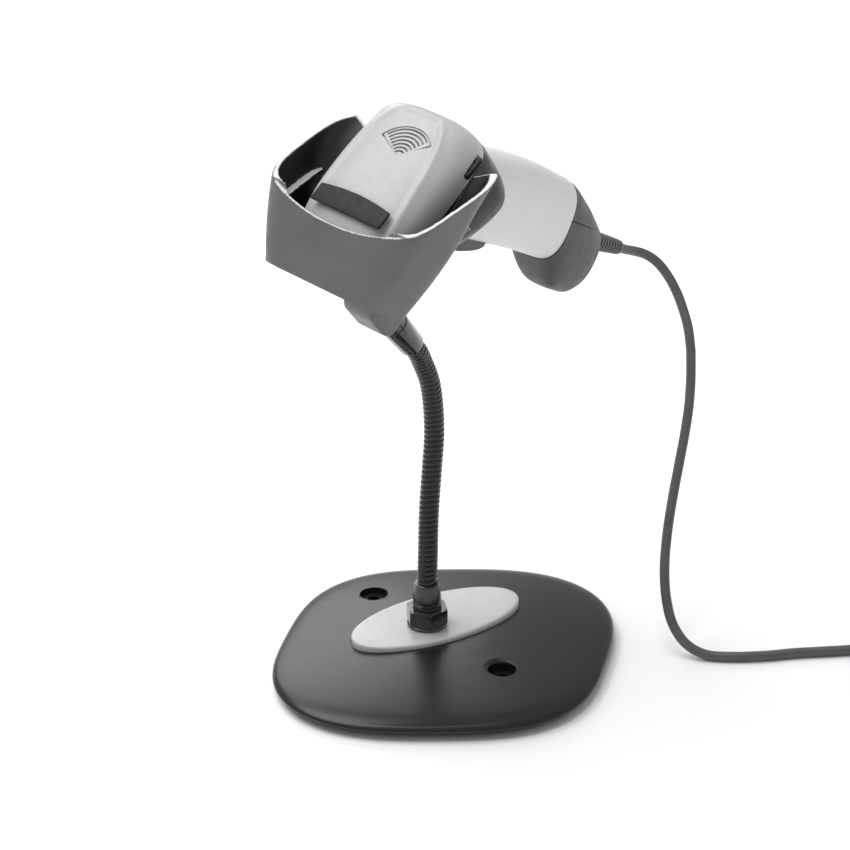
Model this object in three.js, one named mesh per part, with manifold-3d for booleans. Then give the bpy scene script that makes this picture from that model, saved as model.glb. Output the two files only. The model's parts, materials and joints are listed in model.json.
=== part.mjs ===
// Hand-held barcode scanner resting nose down in the cup of a gooseneck stand, with its USB cable.
// Units are millimetres, +Z is up. The origin is the centre of the base's underside, on the floor.
// The stand faces -Y, and the scanner's handle points back, towards +Y.

import * as THREE from 'three';
import { mergeVertices } from 'three/addons/utils/BufferGeometryUtils.js';
import Module from 'manifold-3d';

const wasm = await Module();
wasm.setup();

// ---------- driving dimensions ----------

const gap = 0.3;                  // clearance between separate pieces that meet
const deg = Math.PI / 180;

// base outline: radius = mean + two-lobe term + four-lobe term, in polar form about the origin
const baseRadius = 82.5;
const baseTwoLobe = 4.4;
const baseFourLobe = 4.2;
const matThickness = 2;
const matScale = 0.93;
const baseHeight = 14;
const baseWall = 2.4;
const deckX = -7;                 // midway between the two fixing holes
const deckY = 0;

const padCentre = [-12, 4];
const padTurn = -7 * deg;
const padHalfLength = 46;         // along Y
const padHalfWidth = 21.5;        // along X
const padThickness = 4.4;
const padRise = 2.2;              // how far the pad stands above the deck

const ballastThickness = 4;
const ballastScale = 0.79;        // share of the base outline at the plate's underside
const ballastTopScale = 0.62;
const ballastScrewRadius = 1.9;
const ballastScrewHead = 3.6;
const ballastScrewSpread = [12, 28];   // across and along the pad, from its centre

const fixingSpacing = 98;         // between the two fixing holes, along X
const fixingRecessRadius = 6.6;
const fixingHoleRadius = 3.1;
const fixingSeatZ = 8;

const footX = -9;                 // where the neck stands on the pad
const footY = -4;
const studRadius = 4;
const washerRadius = 9.7;
const washerThickness = 1.5;
const nutAcrossCorners = 21;
const nutHeight = 7.4;
const lockNutAcrossCorners = 15;
const lockNutHeight = 3;
const collarBottomRadius = 6.9;
const collarTopRadius = 6.1;
const collarHeight = 13;

const hoseRadius = 4.9;
const hoseEndGap = 1.3;           // each half of the hose stops this far from the bend point
const hoseSides = 14;

// cup frame: X across, Y towards the handle, Z towards the scanner's rear; origin in its lower mouth
const cupPosition = [7, -69, 213];
const cupTilt = -26 * deg;
const cupRoll = 5 * deg;
const cupYaw = 8 * deg;
const cupWall = 2.2;
const cupSections = [             // height, half width, front edge, back edge
  [0, 33.5, -17, 16.5], [18, 40.5, -19, 17.5], [37, 45.6, -20.8, 19], [56, 47.6, -21.5, 21.5], [76, 48.4, -22, 28],
];
const cupCornerPower = 5;
const cupRimDip = 27.5;           // rim height in the middle of the front
const cupRimCorner = [46, 37.5];  // distance across and height of the rim's front corners
const cupRimSlope = 0.8;          // rise of the side rims towards the back
const cupEarTop = [44, 73.4];     // distance across and height of the rear corners' tips
const cupEarRadius = 5.5;
const cupEarY = 25.5;
const cupLipY = 17.2;             // the rear corners' inner edges slope down from here back
const cupSillHeight = 6.6;        // rear wall under the handle
const cupSlotHalfWidth = 31.8;    // rear opening between the folded-in edges

const bracketHalfWidth = 9;
const bracketReach = 7.6;         // half height of the bracket's face towards the collar
const collarAxisTilt = 23 * deg;  // hose end direction above the cup's -Y axis
const upperCollarLength = 26;

// scanner head frame: the cup frame turned about X; sections run from the nose to the rear
const headTilt = -27 * deg;
const shellWall = 2.4;
const partingLine = -9;           // top shell above, body shell below, in the head frame's Y

const noseStart = 11.6;
const bezelDepth = 5;
const windowHalfWidth = 21;
const windowTop = -13;
const windowBottom = 3.5;
const windowThickness = 2;

const labelWidth = 41;
const labelHeight = 10.5;
const labelStart = 24;
const labelThickness = 1.2;

const grilleCentre = 66;
const grilleRadius = 11;
const grilleThickness = 1.6;

const ledLength = 11;
const ledWidth = 3.4;
const ledStart = 68;

const endCapStart = 128;
const reliefZ = 51;
const reliefLength = 30;
const reliefStemRadius = 3.4;
const reliefStemLength = 14;
const reliefRootRadius = 5.2;
const reliefTipRadius = 3.4;

const triggerHalfWidth = 8.2;
const triggerPivot = [55, 41];    // Y and Z of the trigger's pin, in the cup frame
const triggerPinRadius = 1.5;
const runningClearance = 0.15;

const mirrorShaftRadius = 0.9;

const cableRadius = 2.4;
const cableSides = 10;
const cableStep = 11;

// coil of the spare cable: three turns across and three turns high
const coilCentre = [166.2, 171.4];
const coilRadius = 28.8;          // middle of the turns
const coilAcross = 3;
const coilHigh = 3;
const coilBottom = 0.2;
const tieAngle = 150 * deg;
const tieHalfWidth = 4;
const tieThickness = 1.3;
const plugOffset = [-6.5, -15];   // rear of the plug, from the coil's centre
const plugLength = 38;
const plugShellLength = 12;

// cable route from the strain relief's tip to the floor and on to the coil
const cableRoute = [
  [-24.4, 128.7, 172.3],
  [-25.4, 133.7, 169.7], [-26.8, 141, 166.5], [-25.6, 147.4, 163.6], [-22.2, 151.6, 160], [-17, 154, 154.6],
  [-10.4, 154.6, 147.6], [-3.6, 153.4, 140.2], [3, 151.2, 132.4], [9, 147.8, 123.4], [15, 142.6, 112.4],
  [20.6, 136.6, 101.4], [26, 129.2, 90], [31.4, 120.8, 78], [37.4, 111.4, 64], [43.6, 102.8, 50.4],
  [50.4, 95.4, 37], [57, 91, 25], [64, 89.2, 14.6], [72, 91, 6.6], [80.4, 96, 2.8],
  [89.6, 105, 2.5], [98.6, 117.6, 2.5], [106.4, 131.6, 2.5], [115, 145, 2.5], [121.4, 155.4, 2.5],
  [128, 168.6, 2.5],
];
const pigtailPoints = 10;         // route points that belong to the first stretch

// ---------- helpers ----------

const v3 = (x, y, z) => new THREE.Vector3(x, y, z);

function finish(name, color, roughness, metalness) {
  return new THREE.MeshStandardMaterial({ name, color, roughness, metalness });
}

const paints = {
  blackPlastic: finish('black_plastic', 0x1b1b1d, 0.4, 0),
  padPlastic: finish('pad_plastic', 0xc9c9c9, 0.55, 0),
  cupPlastic: finish('cup_plastic', 0x5a5b5d, 0.5, 0),
  lightShell: finish('light_shell', 0xe4e4e2, 0.45, 0),
  darkShell: finish('dark_shell', 0x202123, 0.45, 0),
  capPlastic: finish('cap_plastic', 0x47484a, 0.55, 0),
  rubber: finish('rubber', 0x161616, 0.85, 0),
  cable: finish('cable', 0x4a4b4d, 0.6, 0),
  steel: finish('steel', 0x9a9b9d, 0.35, 0.9),
  darkSteel: finish('dark_steel', 0x2a2a2b, 0.4, 0.8),
  brass: finish('brass', 0xb5924a, 0.35, 0.9),
  board: finish('board', 0x1f5a36, 0.6, 0),
  glass: finish('glass', 0x5a1015, 0.1, 0),
  mirror: finish('mirror', 0xd8dadc, 0.08, 1),
  beeperPlastic: finish('beeper_plastic', 0x101010, 0.6, 0),
};

function mesh(name, geometry, paint, position = [0, 0, 0]) {
  geometry.computeVertexNormals();
  const part = new THREE.Mesh(geometry, paint);
  part.name = name;
  part.position.set(...position);
  return part;
}

function solid(geometry) {
  const bare = geometry.clone();
  bare.deleteAttribute('normal');
  bare.deleteAttribute('uv');
  const merged = mergeVertices(bare, 1e-4);
  return new wasm.Manifold(new wasm.Mesh({
    numProp: 3,
    vertProperties: new Float32Array(merged.attributes.position.array),
    triVerts: new Uint32Array(merged.index.array),
  }));
}

function toGeometry(manifold) {
  const found = manifold.getMesh();
  const geometry = new THREE.BufferGeometry();
  geometry.setAttribute('position', new THREE.BufferAttribute(found.vertProperties, 3));
  geometry.setIndex(new THREE.BufferAttribute(found.triVerts, 1));
  return geometry.toNonIndexed();
}

function carveAll(start, ...cutters) {
  return toGeometry(cutters.reduce((left, cutter) => left.subtract(solid(cutter)), start));
}

// carves every cutter out of the geometry
function carve(geometry, ...cutters) {
  return carveAll(solid(geometry), ...cutters);
}

function block(x0, x1, y0, y1, z0, z1) {
  return new THREE.BoxGeometry(x1 - x0, y1 - y0, z1 - z0)
    .translate((x0 + x1) / 2, (y0 + y1) / 2, (z0 + z1) / 2);
}

// upright cylinder from z0 to z1
function post(radius, z0, z1, x = 0, y = 0, sides = 22) {
  return new THREE.CylinderGeometry(radius, radius, z1 - z0, sides)
    .rotateX(Math.PI / 2).translate(x, y, (z0 + z1) / 2);
}

// upright hexagonal prism with a round hole through it
function hexNut(acrossCorners, height, bore, z0, x, y) {
  return carve(post(acrossCorners / 2, z0, z0 + height, x, y, 6), post(bore, z0 - 1, z0 + height + 1, x, y));
}

function ringOf(count, place) {
  return Array.from({ length: count }, (_, i) => place((i / count) * Math.PI * 2));
}

// closed solid through rings of the same number of points, counter-clockwise seen against the run
function loft(rings) {
  const count = rings[0].length;
  const points = rings.flat();
  const centre = (ring) => ring.reduce((sum, p) => sum.add(p), v3(0, 0, 0)).divideScalar(count);
  const index = [];
  for (let r = 0; r + 1 < rings.length; r += 1) {
    for (let i = 0; i < count; i += 1) {
      const a = r * count + i;
      const b = r * count + ((i + 1) % count);
      index.push(a, b, a + count, b, b + count, a + count);
    }
  }
  const first = points.length;
  points.push(centre(rings[0]), centre(rings[rings.length - 1]));
  const last = (rings.length - 1) * count;
  for (let i = 0; i < count; i += 1) {
    const next = (i + 1) % count;
    index.push(first, next, i);
    index.push(first + 1, last + i, last + next);
  }
  const geometry = new THREE.BufferGeometry().setFromPoints(points);
  geometry.setIndex(index);
  return geometry.toNonIndexed();
}

// superellipse point for a half width and two half heights
function rounded(angle, halfWidth, low, high, power) {
  const c = Math.cos(angle);
  const s = Math.sin(angle);
  const middle = (low + high) / 2;
  const halfHeight = (high - low) / 2;
  return [
    Math.sign(c) * halfWidth * Math.abs(c) ** (2 / power),
    middle + Math.sign(s) * halfHeight * Math.abs(s) ** (2 / power),
  ];
}

function tube(points, radius, sides, steps) {
  const section = new THREE.Shape(ringOf(sides, (a) => (
    new THREE.Vector2(radius * Math.cos(a), radius * Math.sin(a))
  )));
  const curve = new THREE.CatmullRomCurve3(points, false, 'centripetal');
  return new THREE.ExtrudeGeometry(section, { steps, extrudePath: curve });
}

// ---------- base ----------

function baseReach(angle) {
  const fromY = angle - Math.PI / 2;
  return baseRadius + baseTwoLobe * Math.cos(2 * fromY) + baseFourLobe * Math.cos(4 * fromY);
}

function baseRing(z, scale, inset = 0) {
  return ringOf(56, (a) => {
    const reach = baseReach(a) * scale - inset;
    return v3(reach * Math.cos(a), reach * Math.sin(a), z);
  });
}

// heights are shares of the shell's own rise above the mat
const domeProfile = [
  [0, 0.965], [0.1, 0.985], [0.25, 1], [0.4, 0.985], [0.5, 0.955], [0.6, 0.9],
  [0.7, 0.8], [0.8, 0.67], [0.88, 0.55], [0.95, 0.42], [1, 0.28],
];
const shellBottom = matThickness + gap;
const shellRise = baseHeight - shellBottom;
const padBottom = baseHeight + padRise - padThickness;
const padTop = baseHeight + padRise;
const deckThickness = 1.5;
const cavityTop = padBottom - gap - deckThickness;
const fixingHoles = [-1, 1].map((side) => [deckX + side * fixingSpacing / 2, deckY]);
const bossRadius = fixingRecessRadius + 2.4;
const ballastBottom = cavityTop - gap - ballastThickness;
const ballastScrews = [[1, 1], [-1, 1], [-1, -1], [1, -1]].map(([across, along]) => {
  const spot = new THREE.Vector2(across * ballastScrewSpread[0], along * ballastScrewSpread[1]);
  return spot.rotateAround(new THREE.Vector2(), padTurn).add(new THREE.Vector2(...padCentre)).toArray();
});
const ballastScrewTop = cavityTop + 1.1;

function padOutline(grow) {
  const shape = new THREE.Shape();
  shape.absellipse(...padCentre, padHalfWidth + grow, padHalfLength + grow, 0, Math.PI * 2, false, padTurn);
  return shape;
}

function extrudeUp(shape, z0, z1, curveSegments = 24) {
  return new THREE.ExtrudeGeometry(shape, { depth: z1 - z0, bevelEnabled: false, curveSegments }).translate(0, 0, z0);
}

function makeBaseShell() {
  const outer = loft(domeProfile.map(([h, k]) => baseRing(shellBottom + h * shellRise, k)));
  const cavity = loft([
    baseRing(shellBottom - 1, 0.965, baseWall),
    baseRing(shellBottom + 0.35 * (cavityTop - shellBottom), 0.985, baseWall),
    baseRing(shellBottom + 0.6 * (cavityTop - shellBottom), 0.93, baseWall),
    baseRing(cavityTop, 0.72, baseWall),
  ]);
  let shell = solid(outer).subtract(solid(cavity));
  for (const [x, y] of fixingHoles) {
    const boss = solid(post(bossRadius, shellBottom, cavityTop + 1, x, y));
    shell = shell.add(boss.intersect(solid(outer)));
    shell = shell.subtract(solid(post(fixingRecessRadius, fixingSeatZ, baseHeight + 5, x, y)));
    shell = shell.subtract(solid(post(fixingHoleRadius, 0, fixingSeatZ + 1, x, y)));
  }
  shell = shell.subtract(solid(extrudeUp(padOutline(gap), padBottom - gap, baseHeight + 5)));
  shell = shell.subtract(solid(post(studRadius + gap, cavityTop - 1, baseHeight, footX, footY)));
  for (const [x, y] of ballastScrews) {
    shell = shell.subtract(solid(post(ballastScrewRadius + gap, cavityTop - 1, padBottom, x, y, 16)));
  }
  return mesh('base_shell', toGeometry(shell), paints.blackPlastic);
}

function makeBallast() {
  const plate = loft([
    baseRing(ballastBottom, ballastScale),
    baseRing(ballastBottom + ballastThickness, ballastTopScale),
  ]);
  const holes = fixingHoles.map(([x, y]) => post(bossRadius + 1, 0, 20, x, y));
  const screwHoles = ballastScrews.map(([x, y]) => post(ballastScrewRadius + gap, 0, 20, x, y, 16));
  const studHole = post(studRadius + gap, 0, 20, footX, footY);
  return mesh('ballast_plate', carve(plate, ...holes, ...screwHoles, studHole), paints.steel);
}

function makeBallastScrew(index) {
  const [x, y] = ballastScrews[index];
  const headTop = ballastBottom - gap;
  const profile = [
    [0, headTop - 1.6], [ballastScrewHead, headTop - 1.6], [ballastScrewHead, headTop],
    [ballastScrewRadius, headTop], [ballastScrewRadius, ballastScrewTop], [0, ballastScrewTop],
  ];
  const geometry = new THREE.LatheGeometry(profile.map(([r, z]) => new THREE.Vector2(r, z)), 16).rotateX(Math.PI / 2);
  return mesh(`ballast_screw_${index + 1}`, geometry, paints.steel, [x, y, 0]);
}

function makeFootMat() {
  const mat = loft([baseRing(0, matScale), baseRing(matThickness, matScale)]);
  const holes = fixingHoles.map(([x, y]) => post(fixingHoleRadius + 0.8, -1, matThickness + 1, x, y));
  return mesh('foot_mat', carve(mat, ...holes), paints.rubber);
}

function makeTopPad() {
  const rounding = 1;
  const body = extrudeUp(padOutline(0), padBottom, padTop - rounding);
  const crown = new THREE.ExtrudeGeometry(padOutline(-rounding), {
    depth: 0.1, bevelEnabled: true, bevelThickness: rounding, bevelSize: rounding, bevelSegments: 2, curveSegments: 24,
  }).translate(0, 0, padTop - rounding - 0.1);
  const pad = toGeometry(solid(body).add(solid(crown)));
  const screwPockets = ballastScrews.map(([x, y]) => (
    post(ballastScrewRadius + gap, padBottom - 1, padBottom + 0.4, x, y, 16)
  ));
  const studHole = post(studRadius + gap, 0, 40, footX, footY);
  return mesh('top_pad', carve(pad, studHole, ...screwPockets), paints.padPlastic);
}

// ---------- neck foot ----------

const washerBottom = padTop + gap;
const nutBottom = washerBottom + washerThickness + gap;
const collarBottom = nutBottom + nutHeight + gap;
const collarTop = collarBottom + collarHeight;
const lockNutTop = ballastBottom - gap;
const lockNutBottom = lockNutTop - lockNutHeight;
const studTop = collarTop - 4;

function makeNeckFoot() {
  const bore = studRadius + gap;
  const washer = carve(
    post(washerRadius, washerBottom, washerBottom + washerThickness, footX, footY, 40),
    post(bore, washerBottom - 1, washerBottom + 5, footX, footY),
  );
  const collar = new THREE.CylinderGeometry(collarTopRadius, collarBottomRadius, collarHeight, 32)
    .rotateX(Math.PI / 2).translate(footX, footY, (collarBottom + collarTop) / 2);
  return [
    mesh('foot_washer', washer, paints.darkSteel),
    mesh('foot_nut', hexNut(nutAcrossCorners, nutHeight, bore, nutBottom, footX, footY), paints.darkSteel),
    mesh('lock_nut', hexNut(lockNutAcrossCorners, lockNutHeight, bore, lockNutBottom, footX, footY), paints.steel),
    mesh('neck_stud', post(studRadius, lockNutBottom, studTop, footX, footY), paints.steel),
    mesh('lower_collar', carve(collar, post(bore, collarBottom - 1, studTop + gap, footX, footY)), paints.darkSteel),
  ];
}

// ---------- cup ----------

const cupFrame = new THREE.Group();
cupFrame.position.set(...cupPosition);
cupFrame.rotation.set(cupTilt, cupRoll, cupYaw, 'ZYX');
cupFrame.updateMatrixWorld(true);

function cupRing(z, [, halfWidth, front, back], inset) {
  return ringOf(48, (a) => {
    const [x, y] = rounded(a, halfWidth - inset, front + inset, back - inset, cupCornerPower);
    return v3(x, y, z);
  });
}

function cupLoft(inset, overrun) {
  const last = cupSections.length - 1;
  return loft([
    cupRing(-overrun, cupSections[0], inset),
    ...cupSections.slice(1, last).map((section) => cupRing(section[0], section, inset)),
    cupRing(cupSections[last][0] + overrun, cupSections[last], inset),
  ]);
}

// prism with its outline in Y and Z, from x0 to x1
function extrudeAcross(points, x0, x1) {
  const shape = new THREE.Shape(points.map(([y, z]) => new THREE.Vector2(y, z)));
  return new THREE.ExtrudeGeometry(shape, { depth: x1 - x0, bevelEnabled: false })
    .applyMatrix4(new THREE.Matrix4().makeBasis(v3(0, 1, 0), v3(0, 0, 1), v3(1, 0, 0))).translate(x0, 0, 0);
}

// prism with its outline in X and Z, from y0 to y1
function extrudeAlong(points, y0, y1) {
  const shape = new THREE.Shape(points.map(([x, z]) => new THREE.Vector2(x, z)));
  return new THREE.ExtrudeGeometry(shape, { depth: y1 - y0, bevelEnabled: false })
    .rotateX(Math.PI / 2).translate(0, y1, 0);
}

function makeCupShell() {
  const tall = 90;
  const wide = 60;
  const [cornerX, cornerZ] = cupRimCorner;
  const [earX, earZ] = cupEarTop;
  const frontY = cupSections[2][2];
  const rimAt = (y) => cornerZ + cupRimSlope * (y - frontY);
  const earArc = [30, 60, 90, 120, 150].map((a) => [
    cupEarY + cupEarRadius * Math.cos(a * deg),
    earZ + cupEarRadius * (Math.sin(a * deg) - 1),
  ]);
  const sideView = extrudeAcross([
    [-wide, -1], [wide, -1], [wide, earZ - 8], ...earArc,
    [cupLipY, rimAt(cupLipY)], [frontY, cornerZ], [-wide, cornerZ],
  ], -wide, wide);
  const dip = Array.from({ length: 13 }, (_, i) => {
    const share = i / 6 - 1;
    return [share * cornerX, cupRimDip + (cornerZ - cupRimDip) * share * share];
  });
  const frontCut = extrudeAlong([...dip, [cornerX, tall], [-cornerX, tall]], -wide, cupSections[0][2] - 0.6);
  const lipZ = earZ - 6;
  const lipCut = extrudeAlong([
    [-earX, earZ], [-cupSlotHalfWidth, lipZ], [cupSlotHalfWidth, lipZ], [earX, earZ], [earX, tall], [-earX, tall],
  ], cupLipY, wide);
  const rearSlot = block(-cupSlotHalfWidth, cupSlotHalfWidth, 8, 80, cupSillHeight, 120);
  const wall = solid(cupLoft(0, 0)).subtract(solid(cupLoft(cupWall, 4))).intersect(solid(sideView));
  return mesh('cup_shell', carveAll(wall, frontCut, lipCut, rearSlot), paints.cupPlastic);
}

// the hose's end in the cup frame, and the direction from it into the collar
const collarDirection = v3(0, -Math.cos(collarAxisTilt), Math.sin(collarAxisTilt));
const hoseEnd = v3(0, 67.9, -17.4);
const upperCollarStart = hoseEnd.clone().addScaledVector(collarDirection, gap);
const upperCollarEnd = upperCollarStart.clone().addScaledVector(collarDirection, upperCollarLength);
const bracketFace = upperCollarEnd.clone().addScaledVector(collarDirection, gap);

function makeUpperCollar() {
  const middle = upperCollarStart.clone().lerp(upperCollarEnd, 0.5);
  const turn = new THREE.Quaternion().setFromUnitVectors(v3(0, 1, 0), collarDirection);
  const geometry = new THREE.CylinderGeometry(collarBottomRadius, collarTopRadius, upperCollarLength, 32)
    .applyQuaternion(turn).translate(middle.x, middle.y, middle.z);
  return mesh('upper_collar', geometry, paints.darkSteel);
}

function makeBracket() {
  const side = v3(0, collarDirection.z, -collarDirection.y);
  const high = bracketFace.clone().addScaledVector(side, bracketReach);
  const low = bracketFace.clone().addScaledVector(side, -bracketReach);
  const [bottom, next] = cupSections;
  const backSlope = (next[3] - bottom[3]) / next[0];
  const wallAt = (z) => bottom[3] + gap + 0.1 + backSlope * z;
  const profile = [
    [wallAt(0.5), 0.5], [wallAt(6), 6], [wallAt(6) + 3.5, 6.4], [high.y, high.z],
    [low.y, low.z], [low.y - 5, low.z - 0.6], [wallAt(0) + 4, -8.5], [wallAt(0), -3],
  ];
  return mesh('cup_bracket', extrudeAcross(profile, -bracketHalfWidth, bracketHalfWidth), paints.cupPlastic);
}

// ---------- hose ----------

// bottom and middle of the neck, in the object's frame; the top end follows the cup
const hoseBottom = v3(footX, footY, collarTop + gap);
const hoseMiddle = [
  v3(footX, footY + 0.4, 52), v3(-9.4, -2.6, 76), v3(-9.9, -0.4, 98), v3(-10, 1, 115),
  v3(-9.8, 0.2, 130), v3(-9, -2.6, 144), v3(-7.8, -8, 156),
];
const bendPoint = hoseMiddle[3];

function hoseCurve() {
  const top = cupFrame.localToWorld(hoseEnd.clone());
  const before = cupFrame.localToWorld(hoseEnd.clone().addScaledVector(collarDirection, -6));
  return new THREE.CatmullRomCurve3([hoseBottom, ...hoseMiddle, before, top], false, 'centripetal');
}

function makeHose() {
  const samples = hoseCurve().getSpacedPoints(120);
  const clear = samples.map((p) => p.distanceTo(bendPoint));
  const middle = clear.indexOf(Math.min(...clear));
  const thin = (points) => points.filter((_, i) => i % 5 === 0 || i === points.length - 1);
  const lower = thin(samples.filter((p, i) => i < middle && clear[i] > hoseEndGap));
  const upper = thin(samples.filter((p, i) => i > middle && clear[i] > hoseEndGap).reverse()).reverse();
  return [
    mesh('hose_lower', tube(lower, hoseRadius, hoseSides, 16), paints.blackPlastic),
    mesh('hose_upper', tube(upper, hoseRadius, hoseSides, 20), paints.blackPlastic),
  ];
}

// ---------- scanner shells ----------

// head sections in the head frame: distance from the nose, half width, upper edge, lower edge
const headSections = [
  [noseStart, 26, -21, 9], [20, 28.6, -23.6, 12], [32, 30.4, -26, 16], [46, 31, -27.2, 21],
  [60, 31, -27.6, 28], [74, 30.2, -27, 33], [84, 27.4, -24, 33], [90, 21, -17.5, 28],
];
const headPower = 3.4;

// handle sections in the cup frame: distance along Y, half width, front, back
const handleSections = [
  [38, 17.6, 35, 79], [60, 17.2, 36, 78.6], [85, 16.4, 36.6, 79.4], [108, 16, 37, 78.6],
  [endCapStart - gap, 16.6, 36.4, 76.2],
];
const handlePower = 2.8;

function headLoft(inset) {
  const rows = headSections.map(([z, halfWidth, high, low], i) => {
    const end = i === 0 || i === headSections.length - 1;
    const shift = end ? Math.sign(i - 1) * inset : 0;
    return ringOf(30, (a) => {
      const [x, y] = rounded(a, halfWidth - inset, high + inset, low - inset, headPower);
      return v3(x, y, z - shift);
    });
  });
  return loft(rows).rotateX(headTilt);
}

function handleLoft(inset, overrun) {
  const rows = handleSections.map(([y, halfWidth, front, back], i) => ringOf(26, (a) => {
    const [x, z] = rounded(a, halfWidth - inset, front + inset, back - inset, handlePower);
    return v3(-x, i === handleSections.length - 1 ? y + overrun : y, z);
  }));
  return loft(rows);
}

function headBlock(x0, x1, y0, y1, z0, z1) {
  return block(x0, x1, y0, y1, z0, z1).rotateX(headTilt);
}

// screws and seats inside the head, in its own frame
const caseScrewHead = 2.6;
const caseScrewSeat = 7;
const labelSeat = -25.4;          // underside of the label plate
const grilleSeat = -25.6;
const screwSites = [[-21.6, 22], [21.6, 22]];   // X and Z of the case screws, in the head frame
const caseScrewRadius = 1.25;
const caseBossRadius = 3.4;

function headPost(radius, y0, y1, x, z, sides = 18) {
  return new THREE.CylinderGeometry(radius, radius, y1 - y0, sides).translate(x, (y0 + y1) / 2, z).rotateX(headTilt);
}

function makeScannerShells() {
  const headOuter = solid(headLoft(0));
  const handleInner = solid(handleLoft(shellWall, 5));
  let shell = headOuter.subtract(solid(headLoft(shellWall)));
  for (const [x, z] of screwSites) {
    shell = shell.add(solid(headPost(caseBossRadius, -24, 11, x, z)).intersect(headOuter));
  }
  const viewPort = headBlock(-windowHalfWidth + 2, windowHalfWidth - 2, windowTop + 2, windowBottom - 2, 5, 16);
  const half = 0.5 * gap;
  const above = solid(headBlock(-60, 60, -90, partingLine - half, -60, 200));
  const below = solid(headBlock(-60, 60, partingLine + half, 120, -60, 200));
  const triggerSlot = solid(block(
    -triggerHalfWidth - gap, triggerHalfWidth + gap, triggerPivot[0] - 7, triggerPivot[0] + 28.4, 20, 43,
  ));
  const pinHole = solid(new THREE.CylinderGeometry(triggerPinRadius + gap, triggerPinRadius + gap, 60, 18)
    .rotateZ(Math.PI / 2).translate(0, ...triggerPivot));

  let top = shell.intersect(above);
  top = top.subtract(solid(headBlock(
    -labelWidth / 2 - gap, labelWidth / 2 + gap, -40, labelSeat + gap, labelStart - gap, labelStart + labelHeight + gap,
  )));
  top = top.subtract(solid(headPost(grilleRadius + gap, -40, grilleSeat + gap, 0, grilleCentre, 32)));
  top = top.subtract(solid(headPost(grilleRadius - 1.5, -40, -20, 0, grilleCentre, 32)));
  top = top.subtract(solid(headBlock(
    26, 40, partingLine - ledWidth - gap, partingLine + 1, ledStart - gap, ledStart + ledLength + gap,
  )));
  for (const [x, z] of screwSites) {
    top = top.subtract(solid(headPost(caseScrewRadius + gap, -20.4, 20, x, z)));
  }
  let body = shell.intersect(below).subtract(handleInner).subtract(triggerSlot).subtract(pinHole);
  for (const [x, z] of screwSites) {
    body = body.subtract(solid(headPost(caseScrewRadius + gap, -20, 20, x, z)));
    body = body.subtract(solid(headPost(caseScrewHead + gap, caseScrewSeat, 30, x, z)));
  }
  const handle = solid(handleLoft(0, 0)).subtract(handleInner).subtract(solid(headLoft(-gap)))
    .subtract(triggerSlot).subtract(pinHole);
  return [
    mesh('top_shell', toGeometry(top.subtract(solid(viewPort))), paints.lightShell),
    mesh('body_shell', toGeometry(body.subtract(solid(viewPort))), paints.darkShell),
    mesh('handle_shell', toGeometry(handle), paints.lightShell),
  ];
}

function makeCaseScrew(index) {
  const [x, z] = screwSites[index];
  const seat = caseScrewSeat + gap;
  const profile = [
    [0, -19.6], [caseScrewRadius, -19.6], [caseScrewRadius, seat], [caseScrewHead, seat],
    [caseScrewHead, seat + 1.6], [0, seat + 1.6],
  ];
  const geometry = new THREE.LatheGeometry(profile.map(([r, y]) => new THREE.Vector2(r, y)), 16);
  return mesh(`case_screw_${index + 1}`, geometry, paints.steel, [x, 0, z]);
}

function makeNose() {
  const start = noseStart - gap - bezelDepth;
  const ring = (z, grow) => ringOf(36, (a) => {
    const [x, y] = rounded(a, 26 + grow, -21 - grow, 9 + grow, headPower);
    return v3(x, y, z);
  });
  const bezel = carve(
    loft([ring(start, -1.4), ring(start + 1.4, 0), ring(noseStart - gap, 0)]),
    block(-windowHalfWidth, windowHalfWidth, windowTop, windowBottom, start - 1, noseStart),
  );
  const pane = block(
    -windowHalfWidth + gap, windowHalfWidth - gap, windowTop + gap, windowBottom - gap,
    start + 1.4, start + 1.4 + windowThickness,
  );
  return [mesh('nose_bezel', bezel, paints.darkShell), mesh('scan_window', pane, paints.glass)];
}

function makeTopTrim() {
  const label = block(
    -labelWidth / 2, labelWidth / 2, labelSeat - labelThickness, labelSeat, labelStart, labelStart + labelHeight,
  );
  const disc = new THREE.CylinderGeometry(grilleRadius, grilleRadius, grilleThickness, 36)
    .translate(0, grilleSeat - grilleThickness / 2, grilleCentre);
  const slots = [4, 6.6, 9.2].map((radius) => {
    const fan = new THREE.Shape();
    const spread = 62 * deg;
    fan.absarc(0, 0, radius + 0.7, Math.PI / 2 - spread, Math.PI / 2 + spread, false);
    fan.absarc(0, 0, radius - 0.7, Math.PI / 2 + spread, Math.PI / 2 - spread, true);
    return new THREE.ExtrudeGeometry(fan, { depth: 8, bevelEnabled: false, curveSegments: 10 })
      .rotateX(Math.PI / 2).translate(0, grilleSeat + 2, grilleCentre - 1);
  });
  const led = block(29.4, 31.6, partingLine - ledWidth, partingLine - gap, ledStart, ledStart + ledLength);
  return [
    mesh('label_plate', label, paints.darkShell),
    mesh('beeper_grille', carve(disc, ...slots), paints.lightShell),
    mesh('led_window', led, paints.capPlastic),
  ];
}

// ---------- scanner inside ----------

const mirrorSite = [0, -4, 44];   // middle of the oscillating mirror, in the head frame

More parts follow.
